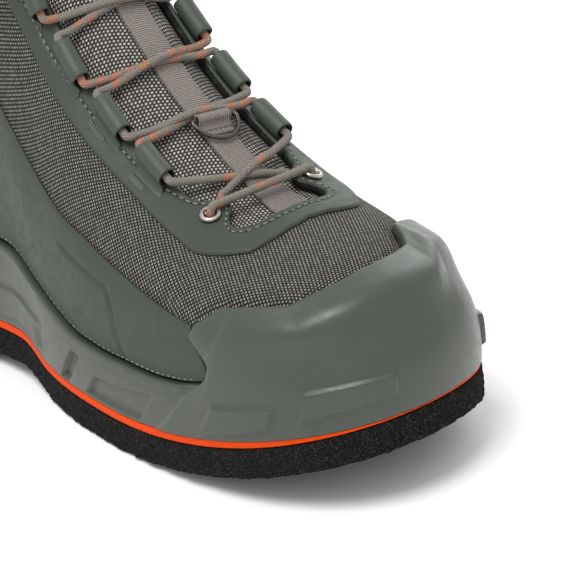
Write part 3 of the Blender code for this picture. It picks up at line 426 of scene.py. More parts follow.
def rand_top(base, side):
    """Round and up of the rand's top edge over a base column, with eased corners."""
    # The last two cells of a row are the medial side's, or else the only ones.
    table = np.array([(row[0], *(row[1:3] if side > 0 else row[-2:])) for row in RAND_EDGE])
    around = up = 0
    for shift in EASE_SHIFTS:
        at = np.abs(base + shift * RAND_EASE)
        at = np.where(at > 1, 2 - at, at)
        around = around + np.interp(at, table[:, 0], table[:, 1]) / len(EASE_SHIFTS)
        up = up + np.interp(at, table[:, 0], table[:, 2]) / len(EASE_SHIFTS)
    at_ends = bell(1, 0.004, base) + bell(0, 0.004, base)
    return around + (base - around) * at_ends, up


def up_at_height(w, height):
    """v at which each meridian passes a height in the boot's lower half."""
    level = np.linspace(0, 0.5, 121)
    z = skin(np.asarray(w)[:, None], level)[..., 2]
    return np.array([np.interp(h, row, level) for h, row in zip(height, z)])


def edge_round(distance, radius):
    """How far a face drops at a distance from its rounded edge."""
    near = np.clip(radius - distance, 0, radius)
    return radius - np.sqrt(radius**2 - near**2)


def rim_distance(face):
    """Distance along each column from a grid's first and its last row."""
    step = np.linalg.norm(np.diff(face, axis=0), axis=2)
    low = np.concatenate([np.zeros((1, face.shape[1])), np.cumsum(step, axis=0)])
    return low, low[-1] - low


def mesh_piece(name, points, faces, finishes, index=None, uvs=None):
    """A finished piece from points counted from the heel's back, its faces turned outwards."""
    mesh = bpy.data.meshes.new(name)
    points = np.asarray(points, float) - (0, HEEL_CENTRE, 0)
    mesh.from_pydata(points.tolist(), [], faces)
    if uvs is not None:
        layer = mesh.uv_layers.new(name="cloth")
        layer.data.foreach_set("uv", np.asarray(uvs, float).ravel())
    for finish in finishes:
        mesh.materials.append(finish)
    if index is not None:
        mesh.polygons.foreach_set("material_index", index)
    mesh.polygons.foreach_set("use_smooth", [True] * len(faces))
    mesh.update()
    piece = bpy.data.objects.new(name, mesh)
    bpy.context.scene.collection.objects.link(piece)
    turn_outwards(piece)
    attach(piece, "root")
    return piece


def turn_outwards(piece):
    """Faces of a closed body point out: its volume comes out positive."""
    mesh = piece.data
    mesh.calc_loop_triangles()
    corner = np.empty(len(mesh.loop_triangles) * 3, np.int32)
    mesh.loop_triangles.foreach_get("vertices", corner)
    point = np.empty(len(mesh.vertices) * 3)
    mesh.vertices.foreach_get("co", point)
    triangle = point.reshape(-1, 3)[corner.reshape(-1, 3)]
    triangle = triangle - triangle.mean((0, 1))
    if np.linalg.det(triangle).sum() < 0:
        mesh.flip_normals()


# Steps to the cell beyond each edge of a cell, with that edge's two corners
NEXT_CELLS = ((-1, 0, 0, 1), (0, 1, 1, 2), (1, 0, 2, 3), (0, -1, 3, 0))


def shell(name, outer, inner, closed, finishes, keep=None, uv=None):
    """A wall between two grids of one size. Cells left out of keep are holes with their own rims."""
    rows, cols = outer.shape[:2]
    wide = cols if closed else cols - 1
    keep = np.ones((rows - 1, wide), bool) if keep is None else keep
    faces, corners, index = [], [], []
    base = rows * cols
    for r, c in zip(*np.nonzero(keep)):
        place = ((r, c), (r, c + 1), (r + 1, c + 1), (r + 1, c))
        quad = [i * cols + j % cols for i, j in place]
        faces.append(quad)
        faces.append([base + i for i in reversed(quad)])
        corners += [*place, *reversed(place)]
        index += [0, len(finishes) - 1]
        for row_step, col_step, a, b in NEXT_CELLS:
            i, j = r + row_step, c + col_step
            j = j % wide if closed else j
            if 0 <= i < rows - 1 and 0 <= j < wide and keep[i, j]:
                continue
            faces.append([quad[b], quad[a], base + quad[a], base + quad[b]])
            corners += [place[b]] * 4
            index.append(len(finishes) - 1)
    uvs = None
    if uv is not None:
        at = np.array(corners)
        uvs = uv[at[:, 0], at[:, 1]]
    points = np.concatenate([outer.reshape(-1, 3), inner.reshape(-1, 3)])
    used = np.unique(np.concatenate([np.array(face) for face in faces]))
    new = np.full(len(points), -1)
    new[used] = np.arange(len(used))
    faces = [[int(new[i]) for i in face] for face in faces]
    return mesh_piece(name, points[used], faces, finishes, index, uvs)


def ring_faces(rows, wide, closed):
    """Quads between closed rings of points, the last ring joined to the first where closed."""
    faces = []
    for r in range(rows if closed else rows - 1):
        after = (r + 1) % rows
        for c in range(wide):
            d = (c + 1) % wide
            faces.append((r * wide + c, r * wide + d, after * wide + d, after * wide + c))
    return faces


def swept(name, path, radius, sides, closed, finish):
    """Round cord along a path, with closed ends or closed on itself. Its UV map is in metres."""
    path = np.asarray(path, float)
    run = np.roll(path, -1, 0) - np.roll(path, 1, 0) if closed else np.gradient(path, axis=0)
    run = unit(run)
    guide = np.cross(run[0], (0.3, 0.2, 1.0))
    angles = np.linspace(0, 2 * math.pi, sides, endpoint=False)[:, None]
    rings = []
    for point, tangent in zip(path, run):
        guide = unit(guide - tangent * guide.dot(tangent))
        other = np.cross(tangent, guide)
        rings.append(point + radius * (np.cos(angles) * guide + np.sin(angles) * other))
    rows = len(path)
    faces = ring_faces(rows, sides, closed)
    length = run_length(np.r_[path, path[:1]])
    uvs = []
    for r in range(rows if closed else rows - 1):
        for c in range(sides):
            for along, around in ((r, c), (r, c + 1), (r + 1, c + 1), (r + 1, c)):
                uvs.append((length[along], around * 2 * math.pi * radius / sides))
    if not closed:
        for ring, last in ((0, False), (rows - 1, True)):
            cap = [ring * sides + c for c in range(sides)]
            faces.append(tuple(cap if last else cap[::-1]))
            uvs += [(0.0, 0.0)] * sides
    return mesh_piece(name, np.concatenate(rings), faces, [finish], None, uvs)


def eased_path(points, count):
    """Evenly spaced points on a smooth open curve through a few."""
    points = np.asarray(points, float)
    step = np.sqrt(np.linalg.norm(np.diff(points, axis=0), axis=1))
    knot = np.r_[0, np.cumsum(step)]
    slope = np.gradient(points, knot, axis=0)
    t = np.linspace(0, knot[-1], 8 * count)
    i = np.clip(np.searchsorted(knot, t, side="right") - 1, 0, len(points) - 2)
    span = knot[i + 1] - knot[i]
    s = ((t - knot[i]) / span)[:, None]
    span = span[:, None]
    curve = (
        (2 * s**3 - 3 * s**2 + 1) * points[i]
        + (s**3 - 2 * s**2 + s) * span * slope[i]
        + (3 * s**2 - 2 * s**3) * points[i + 1]
        + (s**3 - s**2) * span * slope[i + 1]
    )
    length = run_length(curve)
    return read_path(np.linspace(0, length[-1], count), length, curve)


# Materials ------------------------------------------------------------------------------------


class Shader:
    """A material's node tree, with its nodes made one call each."""

    def __init__(self, name, colour, rough):
        self.material = bpy.data.materials.new(name)
        self.material.use_nodes = True
        self.tree = self.material.node_tree
        self.surface = self.tree.nodes["Principled BSDF"]
        self.surface.inputs["Base Color"].default_value = (*colour, 1)
        self.surface.inputs["Roughness"].default_value = rough
        self.material.diffuse_color = (*colour, 1)

    def node(self, kind, inputs=(), **settings):
        """A new node with its settings, its inputs fed by name."""
        made = self.tree.nodes.new(kind)
        for key, value in settings.items():
            setattr(made, key, value)
        for key, value in dict(inputs).items():
            self.feed(made.inputs[key], value)
        return made

    def feed(self, socket, value):
        """Links a socket to another's output, or sets its value."""
        if isinstance(value, bpy.types.NodeSocket):
            self.tree.links.new(value, socket)
        else:
            socket.default_value = value

    def math(self, operation, *values):
        """Result of a Math node."""
        made = self.node("ShaderNodeMath", operation=operation)
        for socket, value in zip(made.inputs, values):
            self.feed(socket, value)
        return made.outputs[0]

    def rise(self, value, low, high, start=0.0, end=1.0):
        """Smooth step of a value between two limits."""
        inputs = {"Value": value, "From Min": low, "From Max": high, "To Min": start, "To Max": end}
        return self.node("ShaderNodeMapRange", inputs, interpolation_type="SMOOTHSTEP").outputs[0]

    def chance(self, x, y=0.0):
        """A random value from 0 to 1 for each whole step of x and y."""
        whole = {"X": self.math("FLOOR", x), "Y": self.math("FLOOR", y)}
        cell = self.node("ShaderNodeCombineXYZ", whole).outputs[0]
        made = self.node("ShaderNodeTexWhiteNoise", {"Vector": cell}, noise_dimensions="2D")
        return made.outputs["Value"]

    def object_place(self):
        """Place on the piece, in metres."""
        return self.node("ShaderNodeTexCoord").outputs["Object"]

    def cloth_place(self):
        """Metres along and across the cloth, from the piece's own UV map."""
        uv = self.node("ShaderNodeUVMap", uv_map="cloth").outputs[0]
        split = self.node("ShaderNodeSeparateXYZ", {"Vector": uv})
        return split.outputs[0], split.outputs[1]

    def grain(self, place, scale, detail=2.0):
        """Noise with so many features a metre."""
        inputs = {"Vector": place, "Scale": scale, "Detail": detail}
        return self.node("ShaderNodeTexNoise", inputs).outputs["Fac"]

    def blend(self, share, first, second):
        """Mix of two colours."""
        made = self.node("ShaderNodeMix", data_type="RGBA")
        # Sockets 0, 6 and 7 are the factor and the two colours.
        for index, value in ((0, share), (6, first), (7, second)):
            if hasattr(value, "__len__") and len(value) == 3:
                value = (*value, 1)
            self.feed(made.inputs[index], value)
        return made.outputs[2]

    def colour(self, value):
        """Feeds the surface's colour."""
        self.feed(self.surface.inputs["Base Color"], value)

    def bump(self, height, distance):
        """Adds a relief of this height in metres over those added before."""
        inputs = {"Height": height, "Distance": distance, "Strength": 1.0}
        old = self.surface.inputs["Normal"].links
        if old:
            inputs["Normal"] = old[0].from_socket
        self.feed(self.surface.inputs["Normal"], self.node("ShaderNodeBump", inputs).outputs[0])

    def set(self, **values):
        """Sets uniform values on the surface, by the names of its inputs."""
        for key, value in values.items():
            self.surface.inputs[key.replace("_", " ")].default_value = value
        return self.material


def tone(colour, factor):
    """A colour made lighter or darker."""
    return tuple(min(1.0, part * factor) for part in colour)


def moulded(name, colour, rough, grain, mottle, scale):
    """Rubber or coated synthetic with a fine skin and slightly uneven colour."""
    made = Shader(name, colour, rough)
    place = made.object_place()
    wide = made.grain(place, 60.0, 3.0)
    made.colour(made.blend(wide, tone(colour, 1 - mottle), tone(colour, 1 + mottle)))
    made.bump(made.grain(place, scale), grain)
    patch = made.rise(made.grain(place, 240.0, 3.0), 0.3, 0.7, rough - 0.05, rough + 0.06)
    made.feed(made.surface.inputs["Roughness"], patch)
    return made


# How much of the distance across a yarn dot counts: under 1, dots are wider than they are long
DOT_WIDTH = 0.8
# Depth of the grain, unevenness of the colour, and fineness, of coated cloth and of thread
COAT_GRAIN = (0.00009, 0.05, 2400.0)
THREAD_GRAIN = (0.0, 0.1, 2000.0)


def mesh_cloth(name, light, dark, across_pitch, along_pitch, size, rough):
    """Open weave: light yarn dots in columns over a dark ground, each column half a dot on."""
    made = Shader(name, dark, rough)
    along, across = made.cloth_place()
    column = made.math("DIVIDE", across, across_pitch)
    shift = made.math("MULTIPLY", made.math("PINGPONG", made.math("FLOOR", column), 1.0), 0.5)
    row = made.math("ADD", made.math("DIVIDE", along, along_pitch), shift)
    x = made.math("SUBTRACT", made.math("FRACT", column), 0.5)
    y = made.math("SUBTRACT", made.math("FRACT", row), 0.5)
    wide = made.math("MULTIPLY", x, DOT_WIDTH * across_pitch / along_pitch)
    square = made.math("ADD", made.math("MULTIPLY", wide, wide), made.math("MULTIPLY", y, y))
    dot = made.rise(made.math("SQRT", square), size * 1.15, size * 0.6)
    rib = made.rise(made.math("ABSOLUTE", x), 0.5, 0.22)
    lit = made.math("MULTIPLY", dot, made.rise(made.chance(column, row), 0.0, 1.0, 0.6, 1.05))
    # Painted shade and light: the ground is painted darker in the low gaps between columns and lighter on
    # the raised columns
    ground = made.blend(rib, tone(dark, 0.7), tone(dark, 1.2))
    made.colour(made.blend(lit, ground, light))
    height = made.math("ADD", made.math("MULTIPLY", rib, 0.45), made.math("MULTIPLY", dot, 0.55))
    made.bump(height, along_pitch * 0.32)
    made.set(Specular_IOR_Level=0.15)
    return made


def ribbed(name, colour, pitch, rough):
    """Woven strap with ribs across its length."""
    made = Shader(name, colour, rough)
    along, across = made.cloth_place()
    place = made.object_place()
    wave = made.math("PINGPONG", made.math("DIVIDE", along, pitch / 2), 1.0)
    thread = made.math("PINGPONG", made.math("DIVIDE", across, pitch * 0.3), 1.0)
    rib = made.rise(wave, 0.05, 0.85)
    fibre = made.rise(made.grain(place, 1300.0, 4.0), 0.35, 0.65)
    woven = made.blend(fibre, tone(colour, 0.8), tone(colour, 1.22))
    # Painted shade: the gaps between threads, where the relief is low, are painted darker
    pale = made.blend(made.rise(thread, 0.0, 0.6), tone(colour, 0.62), woven)
    # Painted shade: the troughs between ribs are painted much darker
    made.colour(made.blend(rib, tone(colour, 0.42), pale))
    made.bump(made.math("ADD", rib, made.math("MULTIPLY", thread, 0.25)), pitch * 0.28)
    made.bump(made.grain(place, 3000.0), 0.00008)
    return made


# Braid: strands each way, their step in radii, the distance between places for flecks, the share
# of those places that have one, and how strongly it colours
BRAID_STRANDS = 8.0
BRAID_STEP = 0.85
FLECK_STEP = 0.0066
FLECK_SHARE = 0.33
FLECK_STRENGTH = 0.82


def braid(name, colour, fleck, radius):
    """Round braided lace with fine crossing strands and slanting flecks of another yarn."""
    made = Shader(name, colour, 0.8)
    along, around = made.cloth_place()
    turn = made.math("DIVIDE", around, 2 * math.pi * radius)
    run = made.math("DIVIDE", along, radius * BRAID_STEP)
    strands = made.math("MULTIPLY", turn, BRAID_STRANDS)
    left = made.math("ADD", strands, run)
    right = made.math("SUBTRACT", strands, run)
    weave = made.math("MULTIPLY", *(made.math("PINGPONG", way, 0.5) for way in (left, right)))
    strand = made.rise(weave, 0.0, 0.12)
    yarn = made.blend(made.chance(left, right), tone(colour, 0.86), tone(colour, 1.12))
    slant = made.math("ADD", made.math("DIVIDE", along, FLECK_STEP), turn)
    marked = made.rise(made.chance(slant), 1 - FLECK_SHARE - 0.01, 1 - FLECK_SHARE + 0.01)
    width = made.rise(made.math("PINGPONG", slant, 0.5), 0.12, 0.24)
    marked = made.math("MULTIPLY", made.math("MULTIPLY", marked, width), FLECK_STRENGTH)
    # Painted shade: the grooves between strands, where the relief is low, are painted half as dark
    made.colour(made.blend(strand, tone(colour, 0.5), made.blend(marked, yarn, fleck)))
    made.bump(strand, 0.00022)
    return made


def fibrous(name, colour):
    """Pressed felt: matt dark fibre with light specks."""
    made = Shader(name, colour, 1.0)
    place = made.object_place()
    layered = {"Vector": place, "Scale": (1.0, 1.0, 2.2)}
    stretched = made.node("ShaderNodeMapping", layered).outputs[0]
    speck = made.rise(made.grain(stretched, 1300.0, 4.0), 0.57, 0.68)
    clump = made.grain(place, 320.0, 4.0)
    ground = made.blend(clump, tone(colour, 0.5), tone(colour, 1.9))
    made.colour(made.blend(speck, ground, tone(colour, 11.0)))
    made.bump(made.grain(stretched, 700.0, 5.0), 0.0022)
    made.set(Specular_IOR_Level=0.15)
    return made


def metal(name, colour, rough):
    """Smooth metal with faint wear."""
    made = Shader(name, colour, rough)
    made.set(Metallic=1.0)
    place = made.object_place()
    wear = made.rise(made.grain(place, 900.0), 0.3, 0.7, rough - 0.04, rough + 0.1)
    made.feed(made.surface.inputs["Roughness"], wear)
    made.bump(made.grain(place, 1800.0), 0.00002)
    return made


# Upper ----------------------------------------------------------------------------------------


def collar_pad(w, v):
    """Padding inside the collar, none at the throat."""
    return COLLAR_PAD * smooth(*PAD_GROWS, v) * (1 - smooth(*PAD_ENDS, from_heel(w)))


def rand_top_at(w):
    """Highest v that the rand covers at w."""
    base = np.linspace(0, 1, 401)
    edges = []
    for side in (1, -1):
        around, up = rand_top(base, side)
        edges.append(np.interp(from_heel(w), np.maximum.accumulate(around), up))
    return np.where(w % 2 <= 1, *edges)


def weave_uv(w, points, turn):
    """Metres along and across the cloth, laid from the boot's ridge down each side."""
    crest_w = np.linspace(0.46, 1.0, 120)
    down = skin(np.full(60, 1.0), np.linspace(1, 0, 60))
    uv = np.zeros(points.shape[:2] + (2,))
    y = points[..., 1]
    for side in (1, -1):
        crest = np.concatenate([TOP_EDGE(crest_w if side > 0 else 2 - crest_w), down[1:]])
        crest[:, 0] = THROAT_SHIFT
        crest[:, 1] = np.maximum.accumulate(crest[:, 1])
        ridge = read_path(y, crest[:, 1], crest)
        along = np.interp(y, crest[:, 1], run_length(crest)) + np.minimum(y - crest[0, 1], 0)
        fall = np.linalg.norm((points - ridge)[..., ::2], axis=-1)
        outward = (points[..., 0] - THROAT_SHIFT) / np.maximum(fall, 1e-6)
        mine = (w <= 1) if side > 0 else (w > 1)
        uv[:, mine] = np.stack([along, fall * np.clip(outward * 3, -1, 1)], -1)[:, mine]
    cos, sin = math.cos(turn), math.sin(turn)
    along, across = uv[..., 0], uv[..., 1]
    return np.stack([cos * along + sin * across, cos * across - sin * along], -1)


def near_eyelets(points, margin):
    """Cells of a grid whose middles fall in an eyelet's bore or within a margin round it."""
    after = np.roll(points, -1, 1)
    middle = (points[:-1] + points[1:] + after[:-1] + after[1:]) / 4
    hole = np.zeros(middle.shape[:2], bool)
    for level in EYELET_ROWS:
        for side in (1, -1):
            here = eyelet_place(level, side)[0]
            hole |= np.linalg.norm(middle - here, axis=-1) < EYELET_BORE / 2 + margin
    return hole


def build_wall(look):
    """Hollow wall of mesh cloth with its lining, open at collar and throat, holed at the eyelets."""
    coarse, fine, throat = 0.01, 0.0045, 0.44
    w = both_sides(np.r_[np.arange(0, throat, coarse), np.arange(throat, 1.0, fine), 1.0])
    start = up_at_height(w, floor_top(outline_at(w, FEATHER_INSET)[0][:, 1]) + 0.001)
    levels = np.r_[np.linspace(0, 0.8, 34), np.linspace(0.8, 1.0, 22)[1:]][:, None]
    v = start + (side_table(THROAT_TRIM, w) - start) * levels
    rand = rand_top_at(w)
    tuck = TUCK * (1 - smooth(rand + 0.01, rand + 0.05, v))
    outer = lifted(w, v, -tuck)
    inner = lifted(w, v, -WALL - tuck - collar_pad(w, v))
    inner[0, :, 2] = outer[0, :, 2]
    keep = ~near_eyelets(outer, 0.0012)
    ends = np.concatenate([outer, outer[:, :1]], 1)
    uv = weave_uv(np.r_[w, 2.0], ends, math.radians(look.weave_turn))
    weave = (look.weave_column, look.weave_dot, look.weave_size, 0.75)
    cloth = mesh_cloth("vamp mesh", look.weave_light, look.weave_dark, *weave)
    weave = (0.0011, 0.0011, 0.30, 0.9)
    lining = mesh_cloth("lining cloth", tone(look.weave_dark, 2.2), look.weave_dark, *weave)
    upper = shell("upper_cloth", outer, inner, True, (cloth.material, lining.material), keep, uv)
    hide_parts("upper")


# Cuff: how far round from the heel it reaches, the v of its lower edge, its crest and its core,
# its height over the skin, and how much of the way to its core it is thick
CUFF_ROUND = 0.466
CUFF_LOW = 0.845
CUFF_HIGH = 0.975
CUFF_CORE = 0.91
CUFF_LIFT = 0.0003
CUFF_SHARE = 0.14


def build_cuff(look):
    """Padded cuff that climbs the collar's outside, rounds its edge and goes down inside."""
    columns, rows = 150, 12
    w = np.linspace(2 - CUFF_ROUND, 2 + CUFF_ROUND, columns)
    outside = np.linspace(CUFF_LOW, CUFF_HIGH, rows)[:, None]
    inside = outside[::-1]
    puff = np.sin(np.linspace(0, math.pi, rows) * 0.62)[:, None]
    face = [lifted(w, outside, CUFF_LIFT + COLLAR_PUFF * puff)]
    front = CUFF_LIFT + COLLAR_PUFF * puff[-1]
    pad = WALL + collar_pad(w, np.full(columns, 0.95)) + 0.0008
    middle, radius = (front - pad) / 2, (front + pad) / 2
    rise = unit(lifted(w, CUFF_HIGH + SKIN_STEP, middle) - lifted(w, CUFF_HIGH - SKIN_STEP, middle))
    normal = skin_normal(w, CUFF_HIGH)
    centre = lifted(w, CUFF_HIGH, middle)
    for angle in np.linspace(0, math.pi, 11)[1:-1]:
        reach = (normal * math.cos(angle) + rise * math.sin(angle)) * radius[:, None]
        face.append((centre + reach)[None])
    face.append(lifted(w, inside, -WALL - collar_pad(w, inside) - 0.0008 * puff[::-1]))
    face = np.concatenate(face)
    inner = face + (lifted(w, CUFF_CORE, middle) - face) * CUFF_SHARE
    uv = np.stack(np.meshgrid(run_length(face[8]), run_length(face[:, columns // 2])), -1)
    weave = (0.0013, 0.0012, 0.34, 0.85)
    cloth = mesh_cloth("cuff cloth", tone(look.weave_light, 0.6), look.weave_dark, *weave)
    cuff = shell("collar_cuff", face, inner, False, (cloth.material,), None, uv)


def build_insole(look):
    """Thin cupped pad on the floor of the upper."""
    thick, cup, clear = 0.0034, 0.0022, 0.0008
    u = np.linspace(0.006, 0.994, 90)
    edges = []
    for turn in (u, 2 - u):
        level = floor_top(outline_at(turn, FEATHER_INSET)[0][:, 1]) + 0.003
        edges.append(lifted(turn, up_at_height(turn, level), -WALL - 0.0012))
    share = np.linspace(0, 1, 25)[:, None, None]
    top = edges[0] + (edges[1] - edges[0]) * share
    climb = (np.abs(share * 2 - 1) ** 4)[..., 0] * cup
    base = floor_top(top[..., 1]) + clear
    bottom = top.copy()
    top[..., 2] = base + thick + climb
    bottom[..., 2] = base + climb * 0.8
    uv = np.stack([top[..., 1], top[..., 0]], -1)
    weave = (0.0012, 0.0010, 0.3, 0.9)
    knit = mesh_cloth("insole cloth", tone(look.weave_dark, 4.0), tone(look.weave_dark, 1.6), *weave)
    insole = shell("insole_pad", top, bottom, False, (knit.material,), None, uv)
    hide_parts("insole")


def build_upper(look):
    """Hollow upper of mesh cloth with its lining, and a padded cuff over the collar's edge."""
    build_wall(look)
    build_cuff(look)
    build_insole(look)


# Overlays -------------------------------------------------------------------------------------


# Rough length and height of the skin in metres, for one unit of round and one of up
SKIN_SIZE = (0.46, 0.11)


def line_dent(w, v, rows, reach):
    """Depth from 0 to 1 of a groove pressed along a line of round and up."""
    place = np.stack([w, v], -1) * SKIN_SIZE
    rows = np.asarray(rows, float) * SKIN_SIZE
    near = np.full(w.shape, 1.0)
    for a, b in zip(rows[:-1], rows[1:]):
        run = b - a
        share = np.clip(((place - a) @ run) / (run @ run), 0, 1)
        near = np.minimum(near, np.linalg.norm(place - a - share[..., None] * run, axis=-1))
    return bell(0, reach, near)


# Line pressed into the quarter, as rows of round and up, and the radius of the quarter's low edge
QUARTER_CREASE = ((0.537, 0.410), (0.605, 0.405), (0.600, 0.170))
QUARTER_ROUND = 0.0005


def overlay(name, w, v, grooves, finish, holes=False, low_round=OVERLAY_THICK):
    """A coated layer over the skin with rounded edges and grooves pressed along its seams."""
    w, v = np.broadcast_arrays(w, v)
    face = lifted(w, v, OVERLAY_CLEAR)
    low, high = rim_distance(face)
    drop = np.maximum(edge_round(low, low_round), edge_round(high, OVERLAY_THICK))
    dent = sum(line_dent(from_heel(w), v, rows, reach) * depth for rows, reach, depth in grooves)
    outer = lifted(w, v, OVERLAY_CLEAR + OVERLAY_THICK - drop * 0.85 - dent)
    keep = ~near_eyelets(outer, 0.0008)[:, :-1] if holes else None
    return shell(name, outer, face, False, (finish,), keep)


def build_overlays(look):
    """Eyestay round the throat and the quarters' panel, with their pressed seams."""
    coat = moulded("overlay coat", look.overlay, 0.5, *COAT_GRAIN)
    coat.set(Specular_IOR_Level=0.3)
    w = np.r_[np.arange(0.464, 1.0, 0.003), 1.0]
    w = np.r_[w, 2 - w[-2::-1]]
    low, high = side_table(EYESTAY_EDGE, w), side_table(THROAT_TRIM, w) + 0.004
    levels = np.r_[0, 0.02, 0.045, 0.08, np.linspace(0.12, 0.88, 22), 0.92, 0.955, 0.98, 1][:, None]
    grooves = [(STITCH_LINE, 0.0007, 0.0004)]
    v = low + (high - low) * levels
    eyestay = overlay("eyestay_overlay", w, v, grooves, coat.material, True)
    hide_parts("eyestay")

    w = np.linspace(2 - 0.728, 2 + 0.728, 424)
    low, high = rand_top_at(w) + 0.004, side_table(QUARTER_EDGE, w)
    levels = np.r_[0, 0.008, 0.02, 0.04, np.linspace(0.065, 0.935, 44), 0.96, 0.98, 0.992, 1][:, None]
    grooves = [(QUARTER_CREASE, 0.0009, 0.0009)]
    v = low + (high - low) * levels
    quarter = overlay("quarter_overlay", w, v, grooves, coat.material, False, QUARTER_ROUND)
    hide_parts("quarter_panel")


# Rubber and felt ------------------------------------------------------------------------------


def panel_lift(u, v, side):
    """Height of the raised and sunk panels on the rand's side."""
    lift = np.zeros(u.shape)
    edge_u, edge_v = 0.0024, 0.0065
    for facing, *edges, step in PANELS:
        if facing != side:
            continue
        back_low, front_low, back_high, front_high, low_back, high_back, low_front, high_front = edges
        share = np.clip((u - back_low) / (front_high - back_low), 0, 1)
        low = low_back + (low_front - low_back) * share
        high = high_back + (high_front - high_back) * share
        slant = np.clip((v - low) / (high - low), 0, 1)
        back = back_low + (back_high - back_low) * slant
        front = front_low + (front_high - front_low) * slant
        mask = smooth(-edge_u, 0, u - back) * smooth(-edge_u, 0, front - u)
        mask = mask * smooth(-edge_v, 0, v - low) * smooth(-edge_v, 0, high - v)
        lift = lift + step * mask
    return lift


# Rand columns stand straight up to the first v and have leant to their waist at the second
RAND_FOOT = 0.15
RAND_WAIST = 0.27


def rand_side(base, side):
    """Outer and inner face of the rand on one side, its columns leaning to its edge's corners."""
    around, top = rand_top(base, side)
    fine = (0.925, 0.945, 0.96, 0.972, 0.982, 0.99, 0.995, 0.998, 1.0)
    climb = np.r_[np.linspace(0, 0.9, 22)[1:], fine][:, None]
    foot = np.linspace(0, RAND_FOOT, 30)[:, None] + 0 * top
    v = np.concatenate([foot, RAND_FOOT + (top - RAND_FOOT) * climb])

    tall = top > RAND_WAIST
    lean = smooth(0.715, 0.745, base) * bell(0.745, 0.03, base) * 0.012
    waist = np.where(tall, np.maximum.accumulate(around) + lean, around)
    low_part = np.clip((v - RAND_FOOT) / (np.minimum(top, RAND_WAIST) - RAND_FOOT), 0, 1)
    high_part = np.clip((v - RAND_WAIST) / np.maximum(top - RAND_WAIST, 1e-6), 0, 1) * tall
    u = base + (waist - base) * low_part + (around - waist) * high_part
    w = u if side > 0 else 2 - u

    share = v / top
    bulge = RAND_LIP + GAP + (RAND_BASE_BULGE - RAND_LIP) * np.clip(1 - share, 0, 1) ** 0.6
    _, below = rim_distance(lifted(w, v, bulge))
    rim = RAND_RIM * smooth(0.0042, 0.0036, below) * (1 - smooth(0.690, 0.706, u))
    cap = CAP_STEP * smooth(0.640, 0.648, u - v * 0.33)
    ridge = RIDGE_RISE * bell(0.74, 0.13, share) - RIDGE_DIP * bell(0.48, 0.16, share)
    relief = panel_lift(u, v, side) + rim + cap + ridge * smooth(0.75, 0.90, u)
    rounding = 0.9 * edge_round(below, 0.0011) + 0.5 * edge_round(v * SKIN_SIZE[1], 0.0010)
    outer = lifted(w, v, bulge + relief - rounding)
    inner = lifted(w, v, GAP)
    plan, _ = outline_at(base if side > 0 else 2 - base, 0.0008)
    foot = np.c_[plan, sole_top(plan[:, 1])][None]
    return np.concatenate([foot, outer]), np.concatenate([inner[:1], inner])


def build_rubber(look):
    """Moulded rand and toe cap, the bright stripe and the felt sole under them."""
    coarse, fine, ball = 0.006, 0.0023, 0.47
    base = np.r_[np.arange(0, ball, coarse), np.arange(ball, 1.0, fine), 1.0]
    faces = zip(rand_side(base, 1), rand_side(base, -1))
    outer, inner = (np.concatenate([lateral, medial[:, -2:0:-1]], 1) for lateral, medial in faces)
    rubber = moulded("rand rubber", look.rubber, 0.33, 0.00008, 0.04, 2000.0)
    rubber.set(Specular_IOR_Level=0.5)
    rand = shell("rand_moulding", outer, inner, True, (rubber.material,))
    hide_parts("midsole_rand")

    bright = moulded("stripe rubber", look.stripe, 0.6, 0.00006, 0.12, 1800.0)
    bright.set(Specular_IOR_Level=0.12)
    layer = (0.0004, FELT_THICK + GAP, STRIPE_THICK, 0.0008, 0.0)
    stripe = sole_layer("stripe_layer", *layer, bright.material)
    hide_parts("midsole_stripe")
    felt = fibrous("pressed felt", look.felt)
    sole = sole_layer("felt_sole", 0.0, 0.0, FELT_THICK, 0.0009, look.fuzz, felt.material)
    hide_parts("outsole_felt")


def sole_layer(name, inset, lift, thick, edge, fuzz, finish):
    """A layer of the sole with rounded edges, its side roughened where fuzz is over zero."""
    half = 340
    crowded = (1 - np.cos(np.linspace(0, math.pi, half))) / 2
    w = both_sides(0.25 * crowded + 0.75 * np.linspace(0, 1, half))
    count = len(w)
    plan, out = outline_at(w, inset)
    rings = []
    for share in np.r_[0, 0.03, 0.09, np.linspace(0.17, 0.83, 8), 0.91, 0.97, 1.0]:
        drop = float(edge_round(np.array(min(share, 1 - share) * thick), edge))
        point = np.c_[plan, ground(plan[:, 1]) + lift + thick * share] - out * drop
        if fuzz:
            point = point + out * fuzz * fibre_noise(point)[:, None]
            point[:, 2] += 0.3 * fuzz * (fibre_noise(point * 1.7) if share in (0, 1) else 0)
        rings.append(point)
    faces = ring_faces(len(rings), count, False)
    for start, turned_over in ((0, True), ((len(rings) - 1) * count, False)):
        for j in range(half - 1):
            right, right_next = start + j, start + j + 1
            left, left_next = start + (count - j) % count, start + count - j - 1
            quad = list(dict.fromkeys((right, right_next, left_next, left)))
            faces.append(quad[::-1] if turned_over else quad)
    return mesh_piece(name, np.concatenate(rings), faces, [finish])


def fibre_noise(points):
    """Uneven fibre ends, about -1 to 1, for a felt edge."""
    places = [Vector(point) for point in points.tolist()]
    return np.array([noise.noise(at * 900.0) + 0.7 * noise.noise(at * 260.0) for at in places])


# Tongue ---------------------------------------------------------------------------------------


def bezier(a, b, c, d, t):
    """Cubic curve from a to d, pulled towards b and c."""
    s = 1 - t
    return s**3 * a + 3 * s * s * t * b + 3 * s * t * t * c + t**3 * d


